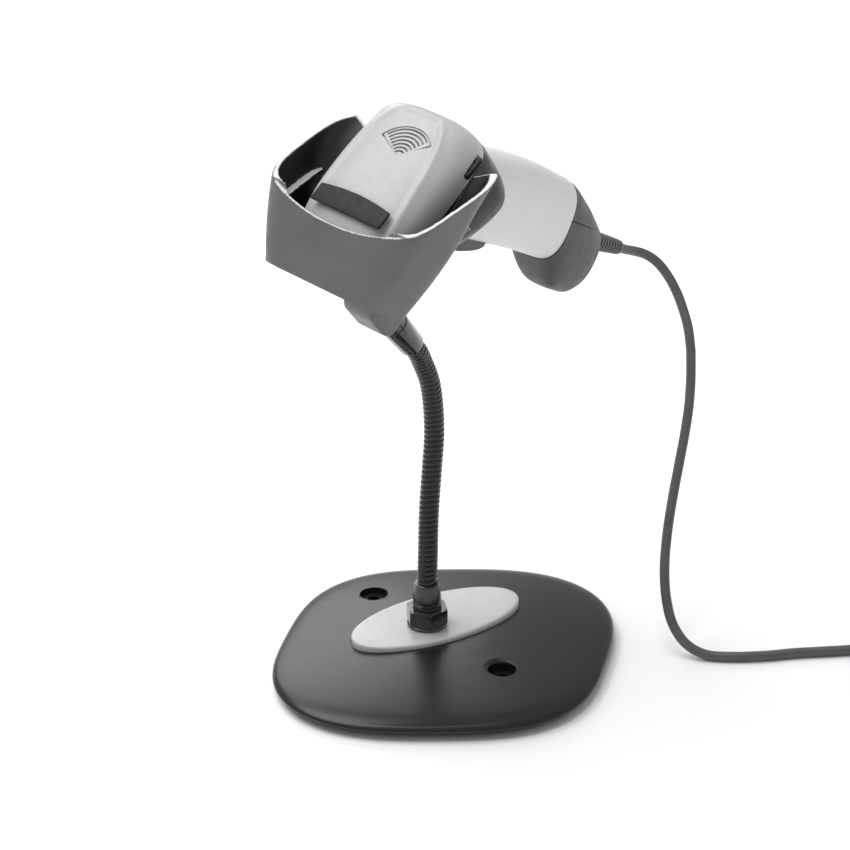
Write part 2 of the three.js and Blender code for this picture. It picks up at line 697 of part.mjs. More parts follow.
function makeOptics() {
  const floor = block(-19, 19, 6.4, 8, 26, 52);
  const ribs = [-1, 1].map((side) => block(side * 18 - 1, side * 18 + 1, -6, 7, 26, 50));
  let chassis = solid(floor);
  for (const rib of ribs) {
    chassis = chassis.add(solid(rib));
  }
  chassis = chassis.subtract(solid(
    new THREE.CylinderGeometry(mirrorShaftRadius + runningClearance, mirrorShaftRadius + runningClearance, 10, 16)
      .translate(mirrorSite[0], 7, mirrorSite[2]),
  ));
  const laser = new THREE.CylinderGeometry(3.2, 3.2, 12, 24).rotateZ(Math.PI / 2).rotateY(0.35)
    .translate(-10, 3, 31);
  const collector = carve(
    block(-15, 15, -8, 7, 53, 58),
    new THREE.SphereGeometry(40, 24, 16).translate(0, 0, 17.5),
  );
  return [
    mesh('scan_chassis', toGeometry(chassis), paints.steel),
    mesh('laser_module', laser, paints.brass),
    mesh('collector_mirror', collector, paints.mirror),
    mesh('photodiode', block(6, 11, -6, 0, 27, 29), paints.beeperPlastic),
    mesh('mirror_coil', post(3.6, 0, 4).translate(0, 0, 47.4), paints.brass),
  ];
}

function makeScanMirror() {
  const [x, y, z] = mirrorSite;
  const plate = block(x - 6.5, x + 6.5, y - 5, y + 5, z - 0.6, z + 0.6);
  const shaft = new THREE.CylinderGeometry(mirrorShaftRadius, mirrorShaftRadius, 18, 16).translate(x, y + 5, z);
  return mesh('scan_mirror', toGeometry(solid(plate).add(solid(shaft))), paints.mirror);
}

function makeElectronics() {
  const board = carve(
    block(-23, 23, -15.4, -13.8, 29, 80),
    block(-8, 8, -20, -10, 25, 34),
  );
  const beeper = new THREE.CylinderGeometry(6.2, 6.2, 6, 28).translate(0, -18.9, grilleCentre);
  return [
    mesh('main_board', board, paints.board),
    mesh('beeper', beeper, paints.beeperPlastic),
    mesh('processor', block(-7, 7, -13.4, -11.6, 56, 70), paints.beeperPlastic),
  ];
}

// ---------- trigger ----------

function makeTrigger() {
  const [y, z] = triggerPivot;
  const lever = extrudeAcross([
    [y - 3.4, z - 3], [y - 1, z - 8.6], [y + 6, z - 10.6], [y + 16, z - 9.4], [y + 24, z - 7], [y + 27, z - 4.6],
    [y + 26.6, z - 2.6], [y + 16, z - 2.6], [y + 5, z + 1], [y + 2.4, z + 3], [y - 2.4, z + 3],
  ], -triggerHalfWidth, triggerHalfWidth);
  const bore = new THREE.CylinderGeometry(triggerPinRadius + runningClearance, triggerPinRadius + runningClearance, 40, 32)
    .rotateZ(Math.PI / 2).translate(0, y, z);
  const pin = new THREE.CylinderGeometry(triggerPinRadius, triggerPinRadius, 2 * triggerHalfWidth + 6, 32)
    .rotateZ(Math.PI / 2).translate(0, y, z);
  return { trigger: mesh('trigger', carve(lever, bore), paints.capPlastic), pin: mesh('trigger_pin', pin, paints.steel) };
}

function makeTriggerSwitch() {
  const y = triggerPivot[0] + 17;
  const z = triggerPivot[1] + 2.6;
  return mesh('trigger_switch', block(-4, 4, y - 4, y + 6, z, z + 6), paints.beeperPlastic);
}

// ---------- end cap, strain relief and connector ----------

const capSections = [
  [endCapStart, 16.9, 36, 76.4], [134, 17.2, 29.5, 75], [141, 17, 24.6, 72], [150, 16.4, 23.4, 67.6],
  [158, 15, 24.2, 63], [164, 12.6, 30, 59.6], [167, 9.6, 38, 57],
];

function capLoft(inset, first, last) {
  return loft(capSections.map(([y, halfWidth, front, back], i) => ringOf(26, (a) => {
    const [x, z] = rounded(a, halfWidth - inset, front + inset, back - inset, 2.6);
    const shift = i === 0 ? first : i === capSections.length - 1 ? last : 0;
    return v3(-x, y + shift, z);
  })));
}

const reliefStart = capSections[capSections.length - 1][0] + gap;

function makeEndCap() {
  const hole = new THREE.CylinderGeometry(reliefStemRadius + gap, reliefStemRadius + gap, 24, 24)
    .translate(0, reliefStart, reliefZ);
  return mesh('end_cap', carve(capLoft(0, 0, 0), capLoft(2.2, -4, -2.6), hole), paints.capPlastic);
}

function makeStrainRelief() {
  const profile = [
    [0, -reliefStemLength], [reliefStemRadius, -reliefStemLength], [reliefStemRadius, 0],
    [reliefRootRadius, 0], [reliefRootRadius, 7],
    [4.6, 9], [reliefTipRadius + 0.5, reliefLength - 2], [reliefTipRadius, reliefLength], [0, reliefLength],
  ];
  const geometry = new THREE.LatheGeometry(profile.map(([r, y]) => new THREE.Vector2(r, y)), 24);
  return mesh('strain_relief', geometry, paints.cable, [0, reliefStart, reliefZ]);
}

function makeConnector() {
  const end = reliefStart - reliefStemLength - gap;
  return mesh('cable_connector', block(-6, 6, end - 18, end, reliefZ - 4, reliefZ + 4), paints.beeperPlastic);
}

// ---------- cable, coil and plug ----------

const routePoints = cableRoute.map((p) => v3(...p));
const coilOuter = coilRadius + (coilAcross / 2) * 2 * cableRadius;
const coilInner = coilRadius - (coilAcross / 2) * 2 * cableRadius;
const coilTop = coilBottom + coilHigh * 2 * cableRadius;

function makeCableRun(points) {
  const length = new THREE.CatmullRomCurve3(points, false, 'centripetal').getLength();
  return tube(points, cableRadius, cableSides, Math.round(length / cableStep));
}

function makeCable() {
  const split = routePoints[pigtailPoints - 1];
  const next = routePoints[pigtailPoints];
  const away = next.clone().sub(split).setLength(gap + 0.2);
  const first = routePoints.slice(0, pigtailPoints);
  const second = [split.clone().add(away), ...routePoints.slice(pigtailPoints)];
  const ring = new THREE.LatheGeometry([
    [coilInner, coilBottom], [coilOuter, coilBottom], [coilOuter, coilTop], [coilInner, coilTop],
    [coilInner, coilBottom],
  ].map(([r, z]) => new THREE.Vector2(r, z)), 40).rotateX(Math.PI / 2);
  return {
    pigtail: mesh('cable_pigtail', makeCableRun(first), paints.cable),
    run: mesh('cable_run', makeCableRun(second), paints.cable),
    coil: mesh('cable_coil', ring, paints.cable, [...coilCentre, 0]),
  };
}

function makeTie() {
  const innerSide = Math.sqrt(coilInner ** 2 - tieHalfWidth ** 2) - gap;
  const outside = block(
    innerSide - tieThickness, coilOuter + gap + tieThickness, -tieHalfWidth, tieHalfWidth,
    coilBottom, coilTop + gap + tieThickness,
  );
  const inside = block(innerSide, coilOuter + gap, -tieHalfWidth - 1, tieHalfWidth + 1, -1, coilTop + gap);
  const geometry = carve(outside, inside).rotateZ(tieAngle);
  return mesh('coil_tie', geometry, paints.blackPlastic, [...coilCentre, 0]);
}

function makePlug() {
  const lift = coilTop + gap;
  const body = block(-8, 8, 0, plugLength - plugShellLength, lift, lift + 8);
  const shellStart = plugLength - plugShellLength + gap;
  const shell = carve(
    block(-6, 6, shellStart, shellStart + plugShellLength, lift + 1.75, lift + 6.25),
    block(-5.6, 5.6, shellStart + 0.6, shellStart + plugShellLength + 2, lift + 2.15, lift + 5.85),
  );
  const tongue = block(-5.2, 5.2, shellStart + 0.9, shellStart + plugShellLength - 0.5, lift + 3.9, lift + 5.5);
  const place = [coilCentre[0] + plugOffset[0], coilCentre[1] + plugOffset[1], 0];
  return [
    mesh('usb_overmould', body, paints.cable, place),
    mesh('usb_shell', shell, paints.steel, place),
    mesh('usb_contact_block', tongue, paints.beeperPlastic, place),
  ];
}

// ---------- assembly ----------

const scanner = new THREE.Group();
const head = new THREE.Group();
head.rotation.x = headTilt;
head.add(...makeNose(), ...makeTopTrim(), ...makeOptics(), makeScanMirror(), ...makeElectronics());
head.add(...screwSites.map((_, i) => makeCaseScrew(i)));
const { trigger, pin } = makeTrigger();
scanner.add(...makeScannerShells(), head, trigger, pin, makeTriggerSwitch());
scanner.add(makeEndCap(), makeStrainRelief(), makeConnector());
cupFrame.add(makeCupShell(), makeBracket(), makeUpperCollar(), scanner);

const { pigtail, run, coil } = makeCable();
const object = new THREE.Group();
object.add(
  makeFootMat(), makeBaseShell(), makeBallast(), makeTopPad(), ...ballastScrews.map((_, i) => makeBallastScrew(i)),
  ...makeNeckFoot(), ...makeHose(), cupFrame, pigtail, run, coil, makeTie(), ...makePlug(),
);

export default object;
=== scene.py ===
# Looks of a handheld barcode scanner in its gooseneck stand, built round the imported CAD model.
# Sizes in the tables are millimetres and become metres when a piece is made. +Z is up, the stand faces -Y.
import json
from math import cos, pi, radians, sin

import bpy
import numpy as np
from mathutils import Euler, Matrix, Vector


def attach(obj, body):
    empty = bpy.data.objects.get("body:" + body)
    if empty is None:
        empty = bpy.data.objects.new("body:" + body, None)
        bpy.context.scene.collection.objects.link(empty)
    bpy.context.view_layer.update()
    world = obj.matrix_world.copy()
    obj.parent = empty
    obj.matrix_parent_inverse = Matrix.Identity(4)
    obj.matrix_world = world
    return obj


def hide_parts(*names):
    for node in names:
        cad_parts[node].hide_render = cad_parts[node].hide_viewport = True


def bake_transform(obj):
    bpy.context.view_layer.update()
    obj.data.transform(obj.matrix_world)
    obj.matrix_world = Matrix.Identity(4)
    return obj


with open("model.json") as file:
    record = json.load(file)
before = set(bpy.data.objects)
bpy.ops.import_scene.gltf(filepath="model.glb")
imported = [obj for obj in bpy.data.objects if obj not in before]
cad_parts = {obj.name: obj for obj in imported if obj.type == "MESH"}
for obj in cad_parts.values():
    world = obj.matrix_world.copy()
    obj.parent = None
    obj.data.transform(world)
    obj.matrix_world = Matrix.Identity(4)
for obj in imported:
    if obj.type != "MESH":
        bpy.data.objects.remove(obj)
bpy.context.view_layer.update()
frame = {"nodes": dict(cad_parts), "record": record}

MM = 0.001
GAP = 0.3

# frames: the object's own, the cup's (X across, Y towards the handle, Z towards the scanner's rear),
# and the scanner head's, which is the cup's turned about X
OBJECT = Matrix.Identity(4)
CUP = (
    Matrix.Translation(Vector((7, -69, 213)) * MM)
    @ Euler((radians(-26), radians(5), radians(8)), "XYZ").to_matrix().to_4x4()
)
HEAD = CUP @ Matrix.Rotation(radians(-27), 4, "X")


# ---------- camera ----------

VIEW_AZIMUTH = radians(51)
VIEW_ELEVATION = radians(25.5)
VIEW_DISTANCE = 1400
VIEW_TARGET = Vector((-22.6, 5.7, 114))
VIEW_LENS = 125.7


def add_camera():
    away = Vector((
        sin(VIEW_AZIMUTH) * cos(VIEW_ELEVATION),
        -cos(VIEW_AZIMUTH) * cos(VIEW_ELEVATION),
        sin(VIEW_ELEVATION),
    ))
    data = bpy.data.cameras.new("camera")
    data.lens = VIEW_LENS
    data.sensor_width = 36
    data.clip_end = 20
    camera = bpy.data.objects.new("camera", data)
    camera.location = (VIEW_TARGET + away * VIEW_DISTANCE) * MM
    camera.rotation_mode = "QUATERNION"
    camera.rotation_quaternion = (-away).to_track_quat("-Z", "Y")
    bpy.context.scene.collection.objects.link(camera)
    bpy.context.scene.camera = camera


# ---------- curves and outlines ----------

def ease(x):
    x = np.clip(x, 0, 1)
    return x * x * (3 - 2 * x)


def spline(points, steps=24):
    """Centripetal Catmull-Rom curve through given points."""
    p = np.asarray(points, float)
    p = np.vstack([2 * p[0] - p[1], p, 2 * p[-1] - p[-2]])
    u = np.linspace(0, 1, steps, endpoint=False)[:, None]
    out = []
    for a, b, c, d in zip(p, p[1:], p[2:], p[3:]):
        first, middle, last = (max(np.linalg.norm(q - r) ** 0.5, 1e-4) for q, r in ((b, a), (c, b), (d, c)))
        leave = ((b - a) / first - (c - a) / (first + middle) + (c - b) / middle) * middle
        arrive = ((c - b) / middle - (d - b) / (middle + last) + (d - c) / last) * middle
        square = 3 * (c - b) - 2 * leave - arrive
        out.append(b + leave * u + square * u**2 + (2 * (b - c) + leave + arrive) * u**3)
    return np.vstack([*out, p[-2:-1]])


def lengths(path):
    return np.concatenate([[0], np.cumsum(np.linalg.norm(np.diff(path, axis=0), axis=1))])


def spaced(path, spacing):
    """The same path as points an equal distance apart."""
    s = lengths(path)
    at = np.linspace(0, s[-1], max(2, round(s[-1] / spacing) + 1))
    return np.stack([np.interp(at, s, path[:, k]) for k in range(path.shape[1])], 1)


def eased(table, at):
    """Columns of a table at places along its first column, on smooth curves through the rows."""
    table = np.asarray(table, float)
    t, v = table[:, 0], table[:, 1:]
    slope = np.gradient(v, t, axis=0)
    at = np.asarray(at, float)
    i = np.clip(np.searchsorted(t, at, side="right") - 1, 0, len(t) - 2)
    h = (t[i + 1] - t[i])[:, None]
    u = (at - t[i])[:, None] / h
    return (
        (2 * u**3 - 3 * u**2 + 1) * v[i] + (u**3 - 2 * u**2 + u) * h * slope[i]
        + (3 * u**2 - 2 * u**3) * v[i + 1] + (u**3 - u**2) * h * slope[i + 1]
    )


def even_loop(loop, count):
    """A closed outline as count points an equal distance apart."""
    closed = np.vstack([loop, loop[:1]])
    s = lengths(closed)
    at = np.linspace(0, s[-1], count, endpoint=False)
    return np.stack([np.interp(at, s, closed[:, k]) for k in range(2)], 1)


def oval(half_width, low, high, power, count):
    """Superellipse with evenly spaced points, as (across, along) pairs."""
    a = np.linspace(0, 2 * pi, 1440, endpoint=False)
    across = np.sign(np.cos(a)) * half_width * np.abs(np.cos(a)) ** (2 / power)
    along = (low + high) / 2 + np.sign(np.sin(a)) * (high - low) / 2 * np.abs(np.sin(a)) ** (2 / power)
    return even_loop(np.stack([across, along], 1), count)


def in_plane(outline, height, axes="xyz"):
    """2-D outline as 3-D points at a height along the third axis; axes says which axis each column is."""
    points = np.zeros((len(outline), 3))
    points[:, "xyz".index(axes[0])] = outline[:, 0]
    points[:, "xyz".index(axes[1])] = outline[:, 1]
    points[:, "xyz".index(axes[2])] = height
    return points


# ---------- closed shapes: each is (points in millimetres, faces) ----------

def facing(points, faces):
    """The same faces, turned so that they all face out."""
    corners = np.array([(f[0], f[i], f[i + 1]) for f in faces for i in range(1, len(f) - 1)])
    a, b, c = points[corners[:, 0]], points[corners[:, 1]], points[corners[:, 2]]
    volume = np.einsum("ij,ij->", a, np.cross(b, c))
    return faces if volume > 0 else [f[::-1] for f in faces]


def loft(rings):
    """Closed solid through rings of equally many points, capped at both ends."""
    rings = np.asarray(rings, float)
    rows, count = rings.shape[:2]
    grid = np.arange(rows * count).reshape(rows, count)
    after = np.roll(grid, -1, axis=1)
    faces = np.stack([grid[:-1], after[:-1], after[1:], grid[1:]], -1).reshape(-1, 4).tolist()
    points = np.vstack([rings.reshape(-1, 3), rings[0].mean(0), rings[-1].mean(0)])
    first, last = rows * count, rows * count + 1
    faces += [[first, b, a] for a, b in zip(grid[0].tolist(), after[0].tolist())]
    faces += [[last, a, b] for a, b in zip(grid[-1].tolist(), after[-1].tolist())]
    return points, facing(points, faces)


def ring_loft(rings):
    """Loft whose last ring joins its first, for tubes with a wall and for rims."""
    rings = np.asarray(rings, float)
    rows, count = rings.shape[:2]
    grid = np.arange(rows * count).reshape(rows, count)
    across = np.roll(grid, -1, axis=1)
    up = np.roll(grid, -1, axis=0)
    faces = np.stack([grid, across, np.roll(across, -1, axis=0), up], -1).reshape(-1, 4).tolist()
    points = rings.reshape(-1, 3)
    return points, facing(points, faces)


def turned(profile, sides=72, centre=(0, 0, 0)):
    """Solid of revolution about +Z from (radius, height) pairs, capped at both ends."""
    a = np.linspace(0, 2 * pi, sides, endpoint=False)
    unit = np.stack([np.cos(a), np.sin(a), np.zeros(sides)], 1)
    return loft([unit * r + np.array([centre[0], centre[1], centre[2] + h]) for r, h in profile])


def turned_ring(profile, sides=96, centre=(0, 0, 0)):
    """Ring of revolution about +Z from a closed (radius, height) outline."""
    a = np.linspace(0, 2 * pi, sides, endpoint=False)
    unit = np.stack([np.cos(a), np.sin(a), np.zeros(sides)], 1)
    return ring_loft([unit * r + np.array([centre[0], centre[1], centre[2] + h]) for r, h in profile])


def block(x0, x1, y0, y1, z0, z1):
    ring = np.array([[x0, y0], [x1, y0], [x1, y1], [x0, y1]], float)
    return loft([in_plane(ring, z0), in_plane(ring, z1)])


def prism(outline, low, high, axes="xyz"):
    """Straight prism of any simple outline, concave ones too."""
    outline = np.asarray(outline, float)
    n = len(outline)
    points = np.vstack([in_plane(outline, low, axes), in_plane(outline, high, axes)])
    faces = [[i, (i + 1) % n, (i + 1) % n + n, i + n] for i in range(n)]
    faces += [list(range(n))[::-1], list(range(n, 2 * n))]
    return points, facing(points, faces)


def cushion_block(x0, x1, y0, y1, z0, z1, corner=1.0, edge=0.4, axes="xyz", steps=6):
    """Block with rounded corners seen along its third axis, and rounded edges at both ends."""
    def ring(inset):
        r = max(corner - inset, 0.05)
        a, b, c, d = x0 + inset, x1 - inset, y0 + inset, y1 - inset
        out = []
        for cx, cy, start in ((b - r, d - r, 0), (a + r, d - r, 90), (a + r, c + r, 180), (b - r, c + r, 270)):
            t = np.radians(np.linspace(start, start + 90, steps))
            out.append(np.stack([cx + r * np.cos(t), cy + r * np.sin(t)], 1))
        return np.vstack(out)
    turns = np.radians(np.linspace(0, 90, 5))
    insets = edge * (1 - np.sin(turns))
    rise = edge * (1 - np.cos(turns))
    lower = [in_plane(ring(i), z0 + h, axes) for i, h in zip(insets, rise)]
    upper = [in_plane(ring(i), z1 - h, axes) for i, h in zip(insets[::-1], rise[::-1])]
    return loft([*lower, *upper])


def sweep(path, radius, sides=16):
    """Tube along a path in millimetres; radius may be a number, or a function of (distance, angle)."""
    tangents = np.gradient(path, axis=0)
    tangents /= np.linalg.norm(tangents, axis=1)[:, None]
    side = np.cross(tangents[0], (0.0, 0.3, 1.0) if abs(tangents[0][2]) < 0.9 else (1.0, 0.0, 0.0))
    angles = np.linspace(0, 2 * pi, sides, endpoint=False)
    travelled = lengths(path)
    rings = []
    for point, tangent, s in zip(path, tangents, travelled):
        side = side - tangent * side.dot(tangent)
        side /= np.linalg.norm(side)
        up = np.cross(tangent, side)
        r = radius(s, angles) if callable(radius) else np.full(sides, radius)
        rings.append(point + r[:, None] * (np.cos(angles)[:, None] * side + np.sin(angles)[:, None] * up))
    return loft(rings)


# ---------- objects ----------

def build(name, *shapes, place=OBJECT, sharp=38):
    points, faces = [], []
    for shape_points, shape_faces in shapes:
        start = len(points)
        points += (np.asarray(shape_points) * MM).tolist()
        faces += [[i + start for i in face] for face in shape_faces]
    data = bpy.data.meshes.new(name)
    data.from_pydata(points, [], faces)
    data.transform(place)
    data.update()
    obj = bpy.data.objects.new(name, data)
    bpy.context.scene.collection.objects.link(obj)
    return shade(obj, sharp)


def shade(obj, sharp=38):
    obj.data.shade_smooth()
    obj.data.set_sharp_from_angle(angle=radians(sharp))
    return obj


def settle(obj):
    """Applies the object's modifiers."""
    done = bpy.data.meshes.new_from_object(obj.evaluated_get(bpy.context.evaluated_depsgraph_get()))
    obj.modifiers.clear()
    obj.data = done
    return obj


def combine(obj, operation, *tools, sharp=38):
    for tool in tools:
        change = obj.modifiers.new("combine", "BOOLEAN")
        change.operation = operation
        change.solver = "EXACT"
        change.object = tool
        settle(obj)
        bpy.data.objects.remove(tool)
    return shade(obj, sharp)


def cut(obj, *shapes, place=OBJECT, sharp=38):
    return combine(obj, "DIFFERENCE", *[build("tool", s, place=place) for s in shapes], sharp=sharp)


def soften(obj, width, segments=2, angle=50, sharp=38):
    """Rounds the object's sharp edges."""
    change = obj.modifiers.new("bevel", "BEVEL")
    change.width = width * MM
    change.segments = segments
    change.limit_method = "ANGLE"
    change.angle_limit = radians(angle)
    return shade(settle(obj), sharp)


def finish_piece(obj, material, slot, body, *stands_for):
    obj.data.materials.clear()
    obj.data.materials.append(material)
    if stands_for:
        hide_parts(*stands_for)
    if body:
        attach(obj, body)
    return obj


# ---------- materials ----------

def surface(
    name, colour, roughness, vary=0.12, patch=45, grain=1400, bump=0.12, rough_vary=0.08,
    metallic=0.0, worn=None, coat=0.0, painted_light=None, brushed=None, gloss=0.5,
):
    """Node material: patchy and fine colour variation, uneven roughness, grain bump and lighter edges.

    Painted light comes as vertex attribute names, each with the colour to take where that attribute is set, for
    painted highlights and painted shade.
    """
    material = bpy.data.materials.new(name)
    material.use_nodes = True
    nodes, links = material.node_tree.nodes, material.node_tree.links
    shader = nodes["Principled BSDF"]
    shader.inputs["Metallic"].default_value = metallic
    shader.inputs["Coat Weight"].default_value = coat
    shader.inputs["Specular IOR Level"].default_value = gloss
    shader.inputs["Coat Roughness"].default_value = 0.18
    where = nodes.new("ShaderNodeTexCoord").outputs["Object"]

    def noise(scale, detail=4.0, source=where):
        node = nodes.new("ShaderNodeTexNoise")
        node.inputs["Scale"].default_value = scale
        node.inputs["Detail"].default_value = detail
        links.new(source, node.inputs["Vector"])
        return node.outputs["Fac"]

    def spread(value, low, high, start=0.3, end=0.7):
        node = nodes.new("ShaderNodeMapRange")
        for key, number in (("From Min", start), ("From Max", end), ("To Min", low), ("To Max", high)):
            node.inputs[key].default_value = number
        links.new(value, node.inputs["Value"])
        return node.outputs["Result"]

    def blend(factor, first, second):
        node = nodes.new("ShaderNodeMix")
        node.data_type = "RGBA"
        for key, value in (("Factor", factor), ("A", first), ("B", second)):
            kind = "VALUE" if key == "Factor" else "RGBA"
            socket = next(s for s in node.inputs if s.name == key and s.type == kind)
            if isinstance(value, bpy.types.NodeSocket):
                links.new(value, socket)
            else:
                socket.default_value = value
        return next(s for s in node.outputs if s.type == "RGBA")

    dark = [c * (1 - vary) for c in colour] + [1]
    light = [min(1, c * (1 + vary)) for c in colour] + [1]
    tint = blend(spread(noise(patch), 0, 1), dark, light)
    speck = spread(noise(grain * 0.6, 2.0), 0, 0.35, 0.62, 0.8)
    tint = blend(speck, tint, [min(1, c * 1.35 + 0.01) for c in colour] + [1])
    if worn:
        geometry = nodes.new("ShaderNodeNewGeometry")
        edge = spread(geometry.outputs["Pointiness"], 0, 0.8, 0.53, 0.62)
        tint = blend(edge, tint, [*worn, 1])
    for painted_attribute, painted_tone in (painted_light or {}).items():
        painted_light_mask = nodes.new("ShaderNodeAttribute")
        painted_light_mask.attribute_name = painted_attribute
        tint = blend(painted_light_mask.outputs["Fac"], tint, [*painted_tone, 1])
    links.new(tint, shader.inputs["Base Color"])
    links.new(
        spread(noise(patch * 6), max(0.03, roughness - rough_vary), min(1, roughness + rough_vary)),
        shader.inputs["Roughness"],
    )
    source = where
    if brushed:
        stretch = nodes.new("ShaderNodeMapping")
        stretch.inputs["Scale"].default_value = brushed
        links.new(where, stretch.inputs["Vector"])
        source = stretch.outputs["Vector"]
    relief = nodes.new("ShaderNodeBump")
    relief.inputs["Strength"].default_value = bump
    relief.inputs["Distance"].default_value = 0.0002
    links.new(noise(grain, 3.0, source), relief.inputs["Height"])
    links.new(relief.outputs["Normal"], shader.inputs["Normal"])
    return material


def grey(value):
    return [value] * 3


def make_materials():
    return {
        "base_plastic": surface(
            "base_black", grey(0.006), 0.3, vary=0.12, grain=2200, bump=0.04, rough_vary=0.02, gloss=0.45,
        ),
        "pad_metal": surface(
            "pad_grey", grey(0.52), 0.42, vary=0.06, grain=2600, bump=0.1, metallic=0.15,
        ),
        "rubber": surface("rubber_black", grey(0.012), 0.85, vary=0.2, grain=900, bump=0.35),
        "steel": surface(
            "zinc_steel", grey(0.55), 0.34, vary=0.08, metallic=1, grain=600, bump=0.1, brushed=(1, 1, 12),
        ),
        "black_steel": surface(
            "gloss_black_steel", grey(0.012), 0.2, vary=0.3, grain=900, bump=0.05, metallic=0.3, coat=0.5,
            worn=grey(0.1),
        ),
        "hose_steel": surface(
            "wound_black_steel", grey(0.01), 0.26, vary=0.3, grain=1500, bump=0.06, metallic=0.35, coat=0.3,
            worn=grey(0.07),
        ),
        # painted light: the cup's rim crest is painted light grey as a highlight, and its inner wall is painted
        # near black as shade
        "cup_plastic": surface(
            "cup_grey", grey(0.12), 0.42, vary=0.08, grain=1900, bump=0.1,
            painted_light={"inside": grey(0.006), "rim": grey(0.8)},
        ),
        "bracket": surface(
            "bracket_grey", grey(0.12), 0.42, vary=0.08, grain=1900, bump=0.1, worn=grey(0.25),
        ),
        "light_plastic": surface("shell_light_grey", grey(0.5), 0.36, vary=0.03, grain=2400, bump=0.07),
        # painted light: a brighter copy of the shell's light grey, so the handle is painted lighter for the
        # light it catches
        "handle_plastic": surface(
            "handle_grey_painted_light", grey(0.72), 0.42, vary=0.02, grain=2400, bump=0.07,
        ),
        "dark_plastic": surface(
            "shell_black", grey(0.008), 0.36, vary=0.2, grain=2000, bump=0.06, worn=grey(0.04), gloss=0.3,
        ),
        "cap_plastic": surface(
            "cap_grey", grey(0.07), 0.48, vary=0.1, grain=1500, bump=0.14, worn=grey(0.13),
        ),
        "window": surface(
            "window_red", [0.12, 0.004, 0.005], 0.06, vary=0.1, grain=300, bump=0.01, coat=0.8,
        ),
        "led_lens": surface("lens_smoke", grey(0.3), 0.2, vary=0.1, grain=500, bump=0.02, coat=0.5),
        "brass": surface(
            "brass", [0.55, 0.38, 0.14], 0.3, metallic=1, grain=700, bump=0.08, brushed=(1, 14, 1),
        ),
        "mirror": surface("mirror", grey(0.85), 0.05, vary=0.02, metallic=1, grain=200, bump=0.01),
        "circuit_board": surface(
            "board_green", [0.02, 0.12, 0.05], 0.45, vary=0.2, patch=300, grain=900, bump=0.2,
        ),
        "cable_jacket": surface(
            "cable_grey", grey(0.085), 0.42, vary=0.1, patch=120, grain=1800, bump=0.12,
        ),
        "label": surface(
            "label_charcoal", grey(0.022), 0.5, vary=0.06, grain=2600, bump=0.03, gloss=0.2,
        ),
    }


# ---------- cable ----------

CABLE_RADIUS = 2.4
ROUTE = [
    [-24.4, 128.7, 172.3],
    [-25.4, 133.7, 169.7], [-26.8, 141, 166.5], [-25.6, 147.4, 163.6], [-22.2, 151.6, 160], [-17, 154, 154.6],
    [-10.4, 154.6, 147.6], [-3.6, 153.4, 140.2], [3, 151.2, 132.4], [9, 147.8, 123.4], [15, 142.6, 112.4],
    [20.6, 136.6, 101.4], [26, 129.2, 90], [31.4, 120.8, 78], [37.4, 111.4, 64], [43.6, 102.8, 50.4],
    [50.4, 95.4, 37], [57, 91, 25], [64, 89.2, 14.6], [72, 91, 6.6], [80.4, 96, 2.8],
    [89.6, 105, 2.5], [98.6, 117.6, 2.5], [106.4, 131.6, 2.5], [115, 145, 2.5], [121.4, 155.4, 2.5],
    [128, 168.6, 2.5],
]
PIGTAIL_POINTS = 10
COIL_CENTRE = (166.2, 171.4)
COIL_RADII = [33.6, 28.8, 24, 24, 28.8, 33.6, 33.6, 28.8]
COIL_HEIGHTS = [2.6, 2.6, 2.6, 7.4, 7.4, 7.4, 12.2, 12.2]
COIL_START = 154                # bearing at which the cable joins the outer turn, in degrees
PLUG_OFFSET = (-6.5, -15)      # rear of the plug, from the coil's centre
PLUG_AXIS_Z = 18.9
TIE_BOX = (0.15, 16.1, 19.8, 37.7)   # bottom, top, inner and outer radius from the coil's centre
TIE_BEARING = 150
TOP_TURN = (30, 17.0)           # radius and height of the last turn, which ends in the plug


def coil_path():
    """Turns beside and on each other, each moving over to the next near the end of its round."""
    levels = np.array([*zip(COIL_RADII, COIL_HEIGHTS), TOP_TURN])
    radius, height = TOP_TURN
    across, back = PLUG_OFFSET
    tail_radius = (radius**2 - across**2 - back**2) / (2 * (radius + across))
    tail_centre = (across + tail_radius, back)
    leave = np.degrees(np.arctan2(tail_centre[1], tail_centre[0]))
    out = []
    for turn in np.arange(0, 360 * len(COIL_RADII) + COIL_START - leave, 4):
        i = min(int(turn // 360), len(levels) - 1)
        r, z = levels[i]
        if i + 1 < len(levels):
            r, z = levels[i] + (levels[i + 1] - levels[i]) * ease((turn - 360 * i - 285) / 75)
        a = radians(COIL_START - turn)
        out.append([r * cos(a), r * sin(a), z])
    for share in np.linspace(0, 1, 12):
        a = radians(leave + (-180 - leave) * share)
        out.append([
            tail_centre[0] + tail_radius * cos(a), tail_centre[1] + tail_radius * sin(a),
            height + (PLUG_AXIS_Z - height) * ease(share),
        ])
    out.append([across, back + 3, PLUG_AXIS_Z])
    return np.array(out) + [*COIL_CENTRE, 0]


def jacket(path):
    """Round jacket with a slight, slow unevenness along its length."""
    def radius(s, angles):
        return CABLE_RADIUS * (1 + 0.006 * np.sin(s * 0.35 + 2 * angles))
    return sweep(path, radius, sides=20)


def add_cable(materials):
    near = spaced(spline(ROUTE[:PIGTAIL_POINTS]), 1.5)
    pigtail = build("cable_pigtail_jacket", jacket(near))
    finish_piece(pigtail, materials["cable_jacket"], "cable_jacket", None, "cable_pigtail")
    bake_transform(pigtail)
    far = spaced(spline(np.vstack([ROUTE[PIGTAIL_POINTS - 1:], coil_path()[1:]]), 12), 2.0)
    run = build("cable_and_coil_jacket", jacket(far))
    finish_piece(run, materials["cable_jacket"], "cable_jacket", None, "cable_run", "cable_coil")
    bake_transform(run)
    plug = add_plug(materials)
    tie = add_tie(materials)


